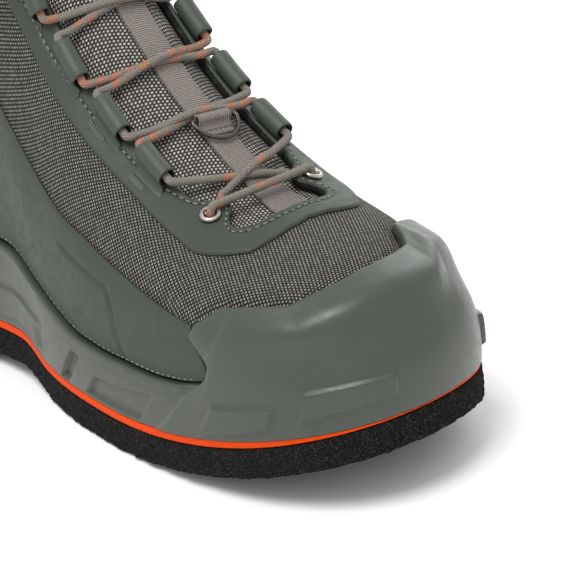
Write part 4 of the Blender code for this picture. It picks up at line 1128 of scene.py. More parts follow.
def tongue_arch(around, t):
    """Outer face of the tongue between the throat's edges, t from the lateral to the medial one."""
    around = np.asarray(around, float)
    edge = np.interp(around, TONGUE_ROUND, TONGUE_OPEN)
    bow = np.interp(around, TONGUE_ROUND, TONGUE_BOW)[..., None]
    ends = []
    for w in (around, 2 - around):
        run = unit(skin(w, edge + SKIN_STEP) - skin(w, edge - SKIN_STEP))
        ends.append((lifted(w, edge, -WALL - TONGUE_CLEAR), run))
    (right, right_run), (left, left_run) = ends
    wide = np.linalg.norm(left - right, axis=-1)[..., None]
    t = np.asarray(t, float)[..., None]
    return bezier(right, right + right_run * bow * wide, left + left_run * bow * wide, left, t)


def tongue_face(rounds, across, sides):
    """Rows of the tongue's outer face: hidden side strips, the arch, and the part over the collar."""
    rows = []
    for around in rounds:
        side = np.interp(around, TONGUE_ROUND, TONGUE_SIDE)
        edge = np.interp(around, TONGUE_ROUND, TONGUE_OPEN)
        v = side + (edge - side) * np.linspace(0, 1, sides, endpoint=False)
        under = -WALL - TONGUE_CLEAR - collar_pad(around, v) * (1 - smooth(0.93, 1, v))
        right = lifted(around, v, under)
        left = lifted(2 - around, v[::-1], under[::-1])
        rows.append(np.concatenate([right, tongue_arch(np.full(len(across), around), across), left]))
    face = np.array(rows)
    climb = unit(face[-1] - face[-5]).mean(0)
    squeeze = np.linspace(0, 1, 17)[1:, None, None]
    middle = face[-1].mean(0)
    narrow = middle + (face[-1] - middle) * (1 - TONGUE_TAPER * squeeze**2)
    return np.concatenate([face, narrow + climb * TONGUE_REACH * squeeze])


def face_normals(face):
    """Outward normals of a face whose rows climb and whose columns run to the medial side."""
    normal = unit(np.cross(np.gradient(face, axis=1), np.gradient(face, axis=0)))
    return normal * np.sign(normal[5, normal.shape[1] // 2, 2])


def face_uv(face):
    """Metres up a face along its middle column, and across each row from its middle."""
    middle = face.shape[1] // 2
    across = np.array([run_length(row) for row in face])
    across = across - across[:, middle:middle + 1]
    return np.stack([run_length(face[:, middle])[:, None] + 0 * across, across], -1)


# Where each row of the tongue's faces lies round the boot, from the toe up
TONGUE_ROUNDS = np.linspace(0.84, 0.48, 76)


def build_pad(look):
    """Padded tongue of open mesh, thin at its edges."""
    outer = tongue_face(TONGUE_ROUNDS, np.linspace(0, 1, 45), 5)
    normal = face_normals(outer)
    uv = face_uv(outer)
    top = uv[-1:, :, 0] - uv[..., 0]
    wide = np.minimum(uv[..., 1] - uv[:, :1, 1], uv[:, -1:, 1] - uv[..., 1])
    inset = np.minimum(np.minimum(top, wide), TONGUE_THICK / 2)
    half = np.sqrt(np.clip(1 - (1 - 2 * inset / TONGUE_THICK) ** 2, 0.01, 1)) * TONGUE_THICK / 2
    middle = outer - normal * TONGUE_THICK / 2
    weave = (look.tongue_pitch, look.tongue_pitch, 0.37, 0.8)
    cloth = mesh_cloth("tongue mesh", look.tongue_light, look.tongue_dark, *weave)
    face = middle + normal * half[..., None]
    back = middle - normal * half[..., None]
    tongue = shell("tongue_pad", face, back, False, (cloth.material,), None, uv)
    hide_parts("tongue")


def build_strap(weave):
    """Webbing down the middle of the tongue."""
    fine = np.linspace(0, 1, 81)
    face = tongue_face(TONGUE_ROUNDS, fine, 1)[:, 1:-1]
    normal = face_normals(face)
    total = np.linalg.norm(np.diff(face, axis=1), axis=2).sum(1)
    rounds = np.r_[TONGUE_ROUNDS, np.full(len(face) - len(TONGUE_ROUNDS), TONGUE_ROUNDS[-1])]
    centre = np.interp(rounds, TONGUE_ROUND, STRAP_MIDDLE)
    half = np.array([0, 0.3, 0.6, 0.88, 0.95, 0.985, 1])
    spread = np.r_[-half[:0:-1], half]
    shares = [mid + WEBBING_WIDTH / 2 / long * spread for mid, long in zip(centre, total)]
    strap = np.array([read_path(share, fine, row) for share, row in zip(shares, face)])[2:]
    up = np.array([read_path(share, fine, row) for share, row in zip(shares, normal)])[2:]
    edge = edge_round((1 - np.abs(spread)) * WEBBING_WIDTH / 2, WEBBING_THICK * 0.6)
    outer = strap + up * (GAP + WEBBING_THICK - edge)[:, None]
    inner = strap + up * 0.0001
    webbing = shell("webbing_strap", outer, inner, False, (weave,), None, face_uv(outer))
    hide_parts("tongue_webbing")


def build_tongue(look):
    """Padded mesh tongue with its ribbed strap and the keeper ring on its tab."""
    build_pad(look)
    weave = ribbed("ribbed webbing", look.webbing, look.rib_pitch, 0.7).material
    build_strap(weave)
    build_keeper(look, weave)


def keeper_frame():
    """Middle of the ring's straight bar, with the ways across, up the boot and out of it."""
    row = np.array([TAB_ROW])
    middle = np.interp(row, TONGUE_ROUND, STRAP_MIDDLE)
    here = tongue_arch(row, middle)[0]
    climb = unit(tongue_arch(row - 0.01, middle)[0] - tongue_arch(row + 0.01, middle)[0])
    across = unit(tongue_arch(row, middle - 0.05)[0] - tongue_arch(row, middle + 0.05)[0])
    up = np.cross(across, -climb)
    up *= np.sign(up[2])
    base = here + up * (3 * GAP + WEBBING_THICK + TAB_BORE / 2 + TAB_WALL)
    return base, across, climb, up


def build_keeper(look, weave):
    """D-shaped ring held on the tongue by a folded tab."""
    base, across, climb, up = keeper_frame()
    ends = np.linspace(-1, 1, 9)
    stations = [(base + across * TAB_WIDTH / 2 * end, climb, up, 1.0) for end in ends]
    tab = strap_loop("keeper_tab", stations, TAB_BORE / 2, TAB_WALL, TAB_LENGTH, (weave,))
    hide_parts("ring_tab")
    half = RING_WIDTH / 2
    path = [(x, 0.0) for x in np.linspace(-half * 0.86, half * 0.86, 12)]
    path += [(half * 0.97, 0.0006), (half, 0.0018)]
    for angle in np.linspace(0.22, math.pi - 0.22, 26):
        path.append((half * math.cos(angle), RING_DEPTH * math.sin(angle)))
    path += [(-half, 0.0018), (-half * 0.97, 0.0006)]
    droop = climb + up * 0.06
    points = [base + x * across - depth * droop for x, depth in path]
    steel = metal("ring steel", look.ring, 0.32)
    ring = swept("keeper_wire", points, RING_WIRE / 2, 14, True, steel.material)
    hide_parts("keeper_ring")


# Loops and eyelets ----------------------------------------------------------------------------


def frame_at(w, v, lift):
    """Place on the skin with its run to the toe, its direction into the throat and its normal."""
    step = 2e-3 if w <= 1 else -2e-3
    side = math.copysign(1, step)
    here = lifted(w, v, lift)
    run = unit(lifted(w + step, v, lift) - lifted(w - step, v, lift))
    normal = skin_normal(np.array(w), np.array(v))
    return here, run, np.cross(normal, run) * side, normal


def eyelet_place(level, side):
    """Frame of an eyelet's middle on the eyestay."""
    w = EYELET_ROWS[level] if side > 0 else 2 - EYELET_ROWS[level]
    return frame_at(w, EYELET_UP[level], OVERLAY_CLEAR + OVERLAY_THICK + 2 * GAP)


def loop_place(row, side, along):
    """Centre, run, inward and up of a lace loop's bore, at a distance along it towards the toe."""
    lift = OVERLAY_CLEAR + OVERLAY_THICK + GAP + LOOP_BORE / 2 + LOOP_WALL
    base, _, _, _ = frame_at(row if side > 0 else 2 - row, LOOP_UP, lift)
    step = 0.01
    near, _, _, _ = frame_at(row + step if side > 0 else 2 - row - step, LOOP_UP, lift)
    w = row + step * along / np.linalg.norm(near - base)
    here, run, inward, up = frame_at(w if side > 0 else 2 - w, LOOP_UP, lift)
    return here - inward * along * math.tan(LOOP_TOE_IN), run, inward, up, w


# A strap's tail: how far out its points lie, in tails, and how high over its end, in walls
TAIL_REACH = (1.0, 0.75, 0.5, 0.28, 0.10)
TAIL_RISE = (0.0, 0.05, 0.25, 0.7, 1.35)


def tail_on_skin(w, side, radius, tail, wall, full):
    """Outer and inner points of a loop's tail, easing down on the overlay outside it."""
    turn = w if side > 0 else 2 - w
    step = 0.05
    tall = np.linalg.norm(lifted(turn, LOOP_UP, 0.0) - lifted(turn, LOOP_UP - step, 0.0)) / step
    v = LOOP_UP - (radius + tail * (0.45 + 0.55 * full) * np.array(TAIL_REACH)) / tall
    top = OVERLAY_CLEAR + OVERLAY_THICK
    rise = np.array(TAIL_RISE) * wall * full
    return lifted(np.full(5, turn), v, top + rise), lifted(np.full(5, turn), v, top - 0.0004)


def strap_loop(name, stations, bore, wall, tail, finishes):
    """Strap rolled round a bore, with a tail outside it.

    Each station gives a centre, the way into the throat, up, how full the wall is there, and the
    tail's points where they follow another surface."""
    radius = bore + wall
    angles = np.radians(np.linspace(172, -95, 27))
    reach = -radius - tail * np.array(TAIL_REACH)
    outer = [(x, -radius + rise * wall) for x, rise in zip(reach, TAIL_RISE)]
    inner = [(x, -radius - 0.0003) for x in reach]
    outer = np.array(outer + [(radius * math.cos(a), radius * math.sin(a)) for a in angles])
    inner = np.array(inner + [(bore * math.cos(a), bore * math.sin(a)) for a in angles])
    count = len(reach)
    faces = [[], []]
    for centre, inward, up, full, *tails in stations:
        middle = (outer + inner) / 2
        for i, profile in enumerate((outer, inner)):
            at = middle + (profile - middle) * full
            points = centre + at[:, :1] * inward + at[:, 1:] * up
            if tails:
                points[:count] = tails[0][i]
            faces[i].append(points)
    outer, inner = np.array(faces[0]), np.array(faces[1])
    return shell(name, outer, inner, False, finishes, None, face_uv(outer))


def build_hardware(look):
    """Rolled lace loops and metal eyelets along both edges of the throat."""
    coat = moulded("loop coat", look.overlay, 0.5, *COAT_GRAIN)
    lining = moulded("loop lining", tone(look.overlay, 0.2), 0.8, *COAT_GRAIN)
    finishes = (coat.material, lining.material)
    # Stations crowd at a loop's mouths, where its wall thins
    half = ((0, 1), (0.15, 1), (0.3, 1), (0.42, 1), (0.465, 0.9), (0.49, 0.7), (0.5, 0.35))
    shares = [(-share, full) for share, full in half[:0:-1]] + list(half)
    for i, row in enumerate(LOOP_ROWS):
        for side, label in SIDES:
            stations = []
            for share, full in shares:
                here, _, inward, up, w = loop_place(row, side, LOOP_LENGTH * share)
                tails = tail_on_skin(w, side, LOOP_BORE / 2 + LOOP_WALL, LOOP_TAIL, LOOP_WALL, full)
                stations.append((here, inward, up, full, tails))
            name = f"rolled_loop_{label}_{i + 1}"
            loop = strap_loop(name, stations, LOOP_BORE / 2, LOOP_WALL, LOOP_TAIL, finishes)
            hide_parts(f"lace_loop_{label}_{i + 1}")
    silver = metal("eyelet metal", look.eyelet, 0.30)
    bore, outer, deep = EYELET_BORE / 2, EYELET_FLANGE, -0.0034
    profile = [(bore, deep), (bore, 0.0002)]
    for angle in np.linspace(math.pi, 0, 11):
        r = (bore + outer) / 2 + (outer - bore) / 2 * math.cos(angle)
        profile.append((r, 0.0001 + EYELET_RIM * math.sin(angle) ** 0.8))
    profile += [(outer - 0.0003, -0.0003), (bore + 0.0006, -0.0003), (bore + 0.0006, deep)]
    for level in EYELET_ROWS:
        for side, label in SIDES:
            here, _, _, up = eyelet_place(level, side)
            eyelet = turned(f"ring_eyelet_{level}_{label}", here, up, profile, 40, silver.material)
            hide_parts(f"eyelet_{level}_{label}")


def turned(name, centre, axis, profile, count, finish):
    """Closed profile of radius and height turned round an axis."""
    side = unit(np.cross(axis, (0.0, 1.0, 0.3)))
    other = np.cross(axis, side)
    points = []
    for angle in np.linspace(0, 2 * math.pi, count, endpoint=False):
        out = side * math.cos(angle) + other * math.sin(angle)
        points += [centre + r * out + h * axis for r, h in profile]
    return mesh_piece(name, points, ring_faces(count, len(profile), True), [finish])


# Lace -----------------------------------------------------------------------------------------


# How far the upper strand of a crossing is lifted over the lower one, in lace thicknesses, how
# far a lace's end sinks behind its eyelet, and how far its last point on top stands inwards
LACE_CROSS = 0.8
LACE_SINK = 0.0045
LACE_LEAN = 0.0022
# Points along the bar and along a strand
BAR_POINTS = 110
STRAND_POINTS = 620
# Where the two strands start: round the boot under the bar, and across the tongue on each side
STRAND_START = 0.745
STRAND_SHARE = {1: 0.24, -1: 0.86}


def lace_over(start, end, rows, across, over):
    """Taut lace path, lifted off its straight line where tongue or another strand is under it."""
    t = np.linspace(0, 1, 11)
    rounds = rows[0] + (rows[1] - rows[0]) * t
    spread = across[0] + (across[1] - across[0]) * t
    step = 0.02
    face = tongue_arch(rounds, spread)
    side = tongue_arch(rounds, spread + step) - tongue_arch(rounds, spread - step)
    climb = tongue_arch(rounds - step / 2, spread) - tongue_arch(rounds + step / 2, spread)
    up = unit(np.cross(side, climb))
    up *= np.sign(up[:, 2:])
    height = LACE_THICK / 2 + WEBBING_THICK * 0.7 + over * LACE_THICK * bell(0.5, 0.24, t)
    chord = start + (end - start) * t[:, None]
    short = height - ((chord - face) * up).sum(1)
    eased = (short + np.sqrt(short**2 + 0.001**2)) / 2
    lift = eased * smooth(0, 0.22, t) * smooth(0, 0.22, 1 - t)
    return chord + up * lift[:, None]


def lace_end(level, side):
    """Points on the way out of an eyelet: over its rim, at its mouth and sunk behind it."""
    here, _, inward, up = eyelet_place(level, side)
    over = here + inward * LACE_LEAN + up * (EYELET_RIM + LACE_THICK * 0.42)
    return over, here + up * 0.0008 + inward * 0.0004, here - up * LACE_SINK


def strand_path(side):
    """Way of the strand that starts on a side: under the bar, through each loop, to the top."""
    share = np.array([STRAND_SHARE[side]])
    over = LACE_CROSS if side > 0 else 0.0
    at = tongue_arch(np.array([STRAND_START]), share)[0] + np.array([0, 0.3, 1.0]) * LACE_THICK * 0.6
    hidden = tongue_arch(np.array([STRAND_START + 0.02]), share)[0]
    path = [hidden + np.array([0, 0, 1.0]) * LACE_THICK * 0.1]
    goal, row, from_across = -side, STRAND_START, STRAND_SHARE[side]
    for loop_row in LOOP_ROWS[::-1]:
        front, run = loop_place(loop_row, goal, LOOP_LENGTH / 2)[:2]
        centre = loop_place(loop_row, goal, 0.0)[0]
        back, back_run = loop_place(loop_row, goal, -LOOP_LENGTH / 2)[:2]
        to_across = 1.0 if goal < 0 else 0.0
        rows = (row, loop_row + 0.015)
        strand = lace_over(at, front + run * LACE_THICK, rows, (from_across, to_across), over)
        path += [*strand[:-1], front + run * LACE_THICK * 0.8, front, centre, back]
        at = back - back_run * LACE_THICK * 0.8
        goal, row, from_across = -goal, loop_row - 0.016, to_across
    to_across = 1.0 if goal < 0 else 0.0
    rim, mouth, sunk = lace_end("top", goal)
    strand = lace_over(at, rim, (row, EYELET_ROWS["top"]), (from_across, to_across), over)
    return path + [*strand, mouth, sunk]


def build_lace(look):
    """One lace: a bar through the low eyelets, then crossed up through the loops."""
    cord = braid("braided lace", look.lace, look.fleck, LACE_THICK / 2).material
    (right, right_mouth, right_sunk), (left, left_mouth, left_sunk) = (
        lace_end("low", side) for side, _ in SIDES
    )
    bar = lace_over(right, left, (EYELET_ROWS["low"] - 0.014,) * 2, (0.0, 1.0), 0.35)
    path = [right_sunk, right_mouth, *bar, left_mouth, left_sunk]
    routes = [("lace_bar_low", path, BAR_POINTS)]
    for side, label in SIDES:
        routes.append((f"lace_strand_{label}", strand_path(side), STRAND_POINTS))
    for name, path, count in routes:
        swept(name, eased_path(path, count), LACE_THICK / 2, 16, False, cord)
    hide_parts("lace_bar")
    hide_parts("lace_cross_1", "lace_cross_2", "lace_cross_3")
    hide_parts("lace_cross_4", "lace_cross_5")


# Stitching ------------------------------------------------------------------------------------


# Sizes of the stitches across the keeper's tab, in the order of the inputs below
TAB_STITCH = (0.0023, 0.0017, 0.0009, 0.0010)
# Width of the seams' thread, height of their stitches and height of their needle holes
SEAM_WIDTH = 0.00075
SEAM_HEIGHT = 0.00055
HOLE_HEIGHT = 0.0003
# Distance from the rand's edge up to the quarter's seam, in v
SEAM_INSET = 0.012
# Named inputs of the stitch row with their usual values, and how far stitches differ in size
STITCH_SIZES = {"Spacing": 0.0028, "Length": 0.0021, "Width": 0.0007, "Height": 0.0004}
SHORTEST_STITCH = 0.86
LONGEST_STITCH = 1.08


def stitch_tree():
    """Stitches spaced along a line: a rounded thread turned to the line and to the cloth."""
    tree = bpy.data.node_groups.new("Stitch row", "GeometryNodeTree")
    face = tree.interface
    face.new_socket("Geometry", in_out="INPUT", socket_type="NodeSocketGeometry")
    for name, value in STITCH_SIZES.items():
        face.new_socket(name, in_out="INPUT", socket_type="NodeSocketFloat").default_value = value
    face.new_socket("Seed", in_out="INPUT", socket_type="NodeSocketInt").default_value = 7
    face.new_socket("Thread", in_out="INPUT", socket_type="NodeSocketMaterial")
    face.new_socket("Geometry", in_out="OUTPUT", socket_type="NodeSocketGeometry")

    def node(kind, links, **settings):
        """First output of a new node with its settings and its inputs, linked or given."""
        made = tree.nodes.new(kind)
        for key, value in settings.items():
            setattr(made, key, value)
        for key, value in links.items():
            if isinstance(value, bpy.types.NodeSocket):
                tree.links.new(value, made.inputs[key])
            else:
                made.inputs[key].default_value = value
        return made.outputs[0]

    given = tree.nodes.new("NodeGroupInput").outputs
    line = node("GeometryNodeMeshToCurve", {"Mesh": given["Geometry"]})
    spacing = {"Curve": line, "Length": given["Spacing"]}
    spaced = node("GeometryNodeResampleCurve", spacing, mode="LENGTH")
    axes = {"X": given["Length"], "Y": given["Width"], "Z": given["Height"]}
    ball = node("GeometryNodeMeshUVSphere", {"Segments": 8, "Rings": 5, "Radius": 0.5})
    size = node("ShaderNodeCombineXYZ", axes)
    thread = node("GeometryNodeTransform", {"Geometry": ball, "Scale": size})
    up = node("GeometryNodeInputNamedAttribute", {"Name": "up"}, data_type="FLOAT_VECTOR")
    tangent = node("GeometryNodeInputTangent", {})
    turn = node("FunctionNodeAlignRotationToVector", {"Vector": tangent}, axis="X")
    turns = {"Rotation": turn, "Vector": up}
    turn = node("FunctionNodeAlignRotationToVector", turns, axis="Z", pivot_axis="X")
    vary = tree.nodes.new("FunctionNodeRandomValue")
    vary.data_type = "FLOAT"
    # Inputs 2 and 3 and output 1 are the ones for plain numbers.
    vary.inputs[2].default_value, vary.inputs[3].default_value = SHORTEST_STITCH, LONGEST_STITCH
    tree.links.new(given["Seed"], vary.inputs["Seed"])
    copies = {"Points": spaced, "Instance": thread, "Rotation": turn, "Scale": vary.outputs[1]}
    placed = node("GeometryNodeInstanceOnPoints", copies)
    solid = node("GeometryNodeRealizeInstances", {"Geometry": placed})
    finished = node("GeometryNodeSetMaterial", {"Geometry": solid, "Material": given["Thread"]})
    tree.links.new(finished, tree.nodes.new("NodeGroupOutput").inputs[0])
    return tree


def stitch_row(name, tree, points, ups, sizes, finish, seed):
    """A row of stitches along points on the cloth, as a plain mesh."""
    points = np.asarray(points) - (0, HEEL_CENTRE, 0)
    mesh = bpy.data.meshes.new(name)
    mesh.from_pydata(points.tolist(), [(i, i + 1) for i in range(len(points) - 1)], [])
    up = mesh.attributes.new("up", "FLOAT_VECTOR", "POINT")
    up.data.foreach_set("vector", np.asarray(ups).ravel())
    row = bpy.data.objects.new(name, mesh)
    bpy.context.scene.collection.objects.link(row)
    modifier = row.modifiers.new("Stitches", "NODES")
    modifier.node_group = tree
    values = {**dict(zip(STITCH_SIZES, sizes)), "Seed": seed, "Thread": finish}
    for item in tree.interface.items_tree:
        if item.in_out == "INPUT" and item.name in values:
            modifier[item.identifier] = values[item.name]
    bpy.context.view_layer.update()
    graph = bpy.context.evaluated_depsgraph_get()
    solid = bpy.data.meshes.new_from_object(row.evaluated_get(graph))
    row.modifiers.remove(modifier)
    row.data = solid
    if not solid.materials:
        solid.materials.append(finish)
    solid.polygons.foreach_set("use_smooth", [True] * len(solid.polygons))
    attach(row, "root")
    return row


# Distance between the points of a line on the skin
LINE_STEP = 0.0008


def line_on_skin(rows, lift):
    """Points and normals along a line of round and up, dense enough to follow the cloth."""
    around, up = zip(*rows)
    t = np.linspace(0, len(rows) - 1, 40 * len(rows))
    w = np.interp(t, np.arange(len(rows)), around)
    v = np.interp(t, np.arange(len(rows)), up)
    for _ in range(3):
        v[1:-1] = (v[:-2] + 2 * v[1:-1] + v[2:]) / 4
    length = run_length(lifted(w, v, lift))
    even = np.linspace(0, length[-1], int(length[-1] / LINE_STEP))
    w, v = np.interp(even, length, w), np.interp(even, length, v)
    return lifted(w, v, lift), skin_normal(w, v)


def build_seams(look, tree, top):
    """Stitch rows along the eyestay and the quarters, each with its needle holes."""
    thread = moulded("seam thread", look.thread, 0.7, *THREAD_GRAIN).material
    holes = moulded("needle holes", tone(look.overlay, 0.12), 0.9, *THREAD_GRAIN).material
    medial = [(2 - w, v) for w, v in STITCH_LINE[-2::-1]]
    turns = np.linspace(2 - 0.700, 2 + 0.700, 160)
    quarter = list(zip(turns, rand_top_at(turns) + SEAM_INSET))
    pitch = look.stitch_pitch
    gap = int(pitch / 2 / LINE_STEP)
    for name, rows in (("eyestay", [*STITCH_LINE, *medial]), ("quarter", quarter)):
        path, up = line_on_skin(rows, top - 0.0001)
        sizes = (pitch, pitch * 0.66, SEAM_WIDTH, SEAM_HEIGHT)
        seam = stitch_row(f"{name}_stitches", tree, path, up, sizes, thread, 7)
        path, up = (path - up * 0.0001)[gap:], up[gap:]
        sizes = (pitch, SEAM_WIDTH, SEAM_WIDTH, HOLE_HEIGHT)
        pricks = stitch_row(f"{name}_needle_holes", tree, path, up, sizes, holes, 3)


def build_tab_seam(tree, thread):
    """Coarse stitches across the keeper tab's tail."""
    base, across, climb, up = keeper_frame()
    radius, point = TAB_BORE / 2 + TAB_WALL, 2
    down = radius + TAB_LENGTH * TAIL_REACH[point]
    place = base - climb * down + up * (TAIL_RISE[point] * TAB_WALL - radius + 0.0001)
    line = place + across * TAB_WIDTH * np.linspace(-0.40, 0.40, 20)[:, None]
    ups = np.tile(up, (20, 1))
    seam = stitch_row("tab_stitches", tree, line, ups, TAB_STITCH, thread, 5)


# Bar tacks: round and up of their middles, half their height and their length in the same
# measures, the number of turns of their thread and its radius
TACK_PLACES = ((0.600, 0.897), (0.660, 0.882))
TACK_HALF = 0.016
TACK_LENGTH = 0.020
TACK_TURNS = 16
TACK_THREAD = 0.00024


def build_tacks(top, thread):
    """Zigzag bar tacks on the eyestay, outside the loops."""
    for number, (w, v) in enumerate(TACK_PLACES):
        for side, label in SIDES:
            rows = []
            for i in range(TACK_TURNS + 1):
                around = w + TACK_LENGTH * (i / TACK_TURNS - 0.5)
                up = v + (TACK_HALF if i % 2 else -TACK_HALF)
                rows.append((around if side > 0 else 2 - around, up))
            points = []
            for here, after in zip(rows[:-1], rows[1:]):
                here, after = np.array(here), np.array(after)
                points += [here + (after - here) * share for share in (0.0, 0.2, 0.5, 0.8)]
            around, up = np.transpose(points)
            path = lifted(around, up, top + 0.0001)
            tack = swept(f"bar_tack_{label}_{number + 1}", path, TACK_THREAD, 6, False, thread)


def build_stitching(look):
    """Stitch rows along the overlays with their needle holes, and the bar tacks by the loops."""
    tree = stitch_tree()
    top = OVERLAY_CLEAR + OVERLAY_THICK
    build_seams(look, tree, top)
    thread = moulded("tack thread", tone(look.thread, 0.6), 0.7, *THREAD_GRAIN).material
    build_tab_seam(tree, thread)
    build_tacks(top, thread)


# Stage ----------------------------------------------------------------------------------------


# Half the floor's width and its depth under the sole, the point that the camera turns about, and
# how far to the right of it and above it the camera aims
FLOOR_HALF = 6.0
FLOOR_DROP = 0.0005
FOCUS = Vector((0, 0.170, 0.050))
AIM = (0.01024, 0.00313)


def look_at(obj, target, up):
    """Turns an object so that its -Z axis points to a target and its Y axis stays near up."""
    back = (obj.location - target).normalized()
    right = up.cross(back).normalized()
    turn = Matrix((right, back.cross(right), back)).transposed().to_4x4()
    obj.matrix_world = Matrix.Translation(obj.location) @ turn


def area_light(name, place, target, size, power, colour):
    """A round soft light at a place, facing a target."""
    light = bpy.data.lights.new(name, "AREA")
    light.shape, light.size, light.energy, light.color = "DISK", size, power, colour
    obj = bpy.data.objects.new(name, light)
    bpy.context.scene.collection.objects.link(obj)
    obj.location = place
    look_at(obj, target, Vector((0.1, 0.2, 1)))


def build_floor(look):
    """Pale floor just under the sole."""
    mesh = bpy.data.meshes.new("floor")
    corners = [(x * FLOOR_HALF, y * FLOOR_HALF, 0) for x, y in ((-1, -1), (1, -1), (1, 1), (-1, 1))]
    mesh.from_pydata(corners, [], [(0, 1, 2, 3)])
    pale = Shader("floor", look.floor, 0.9)
    mesh.materials.append(pale.material)
    floor = bpy.data.objects.new("floor", mesh)
    bpy.context.scene.collection.objects.link(floor)
    floor.location.z = -FLOOR_DROP


def build_stage(look):
    """Pale floor, soft studio light and the camera at the photograph's angle."""
    build_floor(look)
    turn, rise, roll = np.radians((look.view_turn, look.view_rise, look.view_roll)).tolist()
    out = Vector((math.sin(turn) * math.cos(rise), math.cos(turn) * math.cos(rise), math.sin(rise)))
    right = Vector((-math.cos(turn), math.sin(turn), 0))
    up = out.cross(right)
    view_right = right * math.cos(roll) + up * math.sin(roll)
    view_up = up * math.cos(roll) - right * math.sin(roll)
    camera = bpy.data.objects.new("camera", bpy.data.cameras.new("camera"))
    bpy.context.scene.collection.objects.link(camera)
    camera.data.lens = look.lens
    camera.data.clip_start, camera.data.clip_end = 0.05, 20
    camera.location = FOCUS + out * look.distance
    look_at(camera, FOCUS + view_right * AIM[0] + view_up * AIM[1], view_up)
    bpy.context.scene.camera = camera

    world = bpy.data.worlds.new("studio")
    world.use_nodes = True
    sky = world.node_tree.nodes["Background"].inputs
    sky["Color"].default_value = (1, 1, 1, 1)
    sky["Strength"].default_value = look.surround
    bpy.context.scene.world = world
    bpy.context.scene.view_settings.view_transform = "Standard"
    # Places of the lights from the focus, to the right, towards the camera and up
    lights = (
        ("key", (-0.35, 0.50, 1.15), 0.9, 1.0, (1, 0.99, 0.97)),
        ("rim", (0.5, -1.0, 0.9), 0.8, 0.2, (0.97, 0.99, 1)),
    )
    for name, (aside, near, high), size, share, colour in lights:
        place = FOCUS + right * aside + out * near + Vector((0, 0, high))
        area_light(name, place, FOCUS, size, look.key_power * share, colour)


# Settings, operators and panel ----------------------------------------------------------------


def colour_setting(name, text, value):
    """A colour property."""
    return bpy.props.FloatVectorProperty(
        name=name, description=text, subtype="COLOR", size=3, min=0, max=1, default=value
    )


def length_setting(name, text, value):
    """A length property in metres."""
    return bpy.props.FloatProperty(
        name=name, description=text, unit="LENGTH", subtype="DISTANCE", min=0, default=value, precision=5
    )


def number_setting(name, text, value):
    """A plain number property."""
    return bpy.props.FloatProperty(name=name, description=text, default=value)


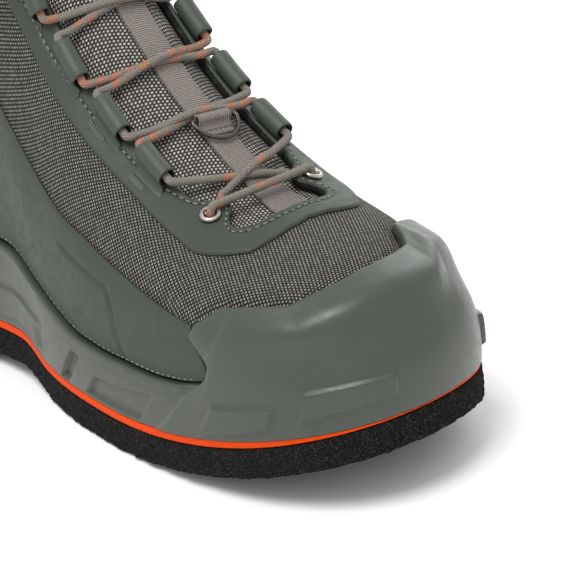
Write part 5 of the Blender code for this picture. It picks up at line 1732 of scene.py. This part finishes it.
class BootLook(bpy.types.PropertyGroup):
    """Colours, cloth sizes, light and camera of the dressed boot."""

    rubber: colour_setting("Rand", "Colour of the moulded rand and toe cap", (0.047, 0.056, 0.0435))
    overlay: colour_setting("Overlays", "Colour of the eyestay, quarter and loops", (0.041, 0.051, 0.040))
    stripe: colour_setting("Stripe", "Colour of the stripe over the felt", (0.72, 0.058, 0.0))
    felt: colour_setting("Felt", "Colour of the felt sole", (0.008, 0.0075, 0.0075))
    webbing: colour_setting("Webbing", "Colour of the tongue's strap", (0.30, 0.262, 0.235))
    lace: colour_setting("Lace", "Main colour of the lace", (0.27, 0.245, 0.21))
    fleck: colour_setting("Flecks", "Colour of the lace's flecks", (0.74, 0.19, 0.075))
    thread: colour_setting("Thread", "Colour of the stitches", (0.18, 0.20, 0.17))
    weave_light: colour_setting("Mesh dots", "Light yarn of the vamp's mesh", (0.265, 0.255, 0.222))
    weave_dark: colour_setting("Mesh ground", "Dark yarn of the vamp's mesh", (0.011, 0.011, 0.011))
    tongue_light: colour_setting("Tongue dots", "Light yarn of the tongue's mesh", (0.44, 0.415, 0.375))
    tongue_dark: colour_setting("Tongue ground", "Dark yarn of the tongue's mesh", (0.014, 0.014, 0.015))
    eyelet: colour_setting("Eyelets", "Colour of the eyelets' metal", (0.44, 0.42, 0.38))
    ring: colour_setting("Ring", "Colour of the keeper ring's metal", (0.11, 0.105, 0.095))
    floor: colour_setting("Floor", "Colour of the floor", (0.97, 0.97, 0.97))
    weave_column: length_setting("Mesh column", "Distance between the mesh's columns", 0.00130)
    weave_dot: length_setting("Mesh dot", "Distance between dots in a column", 0.00121)
    weave_size: number_setting("Dot size", "Dot radius as a share of the dot distance", 0.355)
    weave_turn: number_setting("Mesh turn", "Turn of the mesh from the boot's length, in degrees", 28)
    tongue_pitch: length_setting("Tongue dot", "Distance between the tongue mesh's dots", 0.00158)
    rib_pitch: length_setting("Webbing rib", "Distance between the webbing's ribs", 0.00095)
    stitch_pitch: length_setting("Stitch", "Distance from one stitch to the next", 0.0032)
    fuzz: length_setting("Felt fuzz", "How far the felt's fibres stand out of its edge", 0.00075)
    view_turn: number_setting("Camera turn", "Turn from the toe to the lateral side, in degrees", 34.71)
    view_rise: number_setting("Camera rise", "Camera's angle above the floor, in degrees", 23.99)
    view_roll: number_setting("Camera roll", "Camera's turn about its own axis, in degrees", -7.37)
    distance: length_setting("Camera distance", "Camera's distance from the boot", 1.0998)
    lens: number_setting("Lens", "Focal length, in millimetres", 183.4)
    key_power: number_setting("Key light", "Power of the key light, in watts", 15.0)
    surround: number_setting("Surround", "Strength of the white surround", 0.85)


def stage_operator(label, title, build):
    """An operator that runs one builder with the scene's look."""

    def execute(self, context):
        build(context.scene.boot_look)
        return {"FINISHED"}

    members = {
        "__doc__": build.__doc__,
        "bl_idname": f"wading_boot.{label}",
        "bl_label": title,
        "execute": execute,
    }
    return type(f"WADING_BOOT_OT_{label}", (bpy.types.Operator,), members)


STEPS = (
    ("upper", "Build upper, cuff and insole", build_upper),
    ("overlays", "Build eyestay and quarters", build_overlays),
    ("rubber", "Build rand, stripe and felt", build_rubber),
    ("tongue", "Build tongue, strap and keeper", build_tongue),
    ("hardware", "Build loops and eyelets", build_hardware),
    ("lace", "Build lace", build_lace),
    ("stitching", "Build stitching", build_stitching),
    ("stage", "Build stage, light and camera", build_stage),
)
OPERATORS = [stage_operator(*step) for step in STEPS]


class WADING_BOOT_PT_panel(bpy.types.Panel):
    """Sidebar panel with the boot's settings and its operators."""

    bl_label = "Wading Boot"
    bl_space_type = "VIEW_3D"
    bl_region_type = "UI"
    bl_category = "Wading Boot"

    def draw(self, context):
        for name in BootLook.__annotations__:
            self.layout.prop(context.scene.boot_look, name)
        for label, _, _ in STEPS:
            self.layout.operator(f"wading_boot.{label}")


def register():
    """Registers the settings, the operators and the panel."""
    for member in (BootLook, *OPERATORS, WADING_BOOT_PT_panel):
        bpy.utils.register_class(member)
    bpy.types.Scene.boot_look = bpy.props.PointerProperty(type=BootLook)


def unregister():
    """Takes them out again."""
    del bpy.types.Scene.boot_look
    for member in (WADING_BOOT_PT_panel, *reversed(OPERATORS), BootLook):
        bpy.utils.unregister_class(member)


def main():
    """Builds everything in order and writes the sizes of the solids and of the dressed boot."""
    register()
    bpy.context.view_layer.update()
    for label, _, _ in STEPS:
        getattr(bpy.ops.wading_boot, label)()


if __name__ == "__main__":
    main()
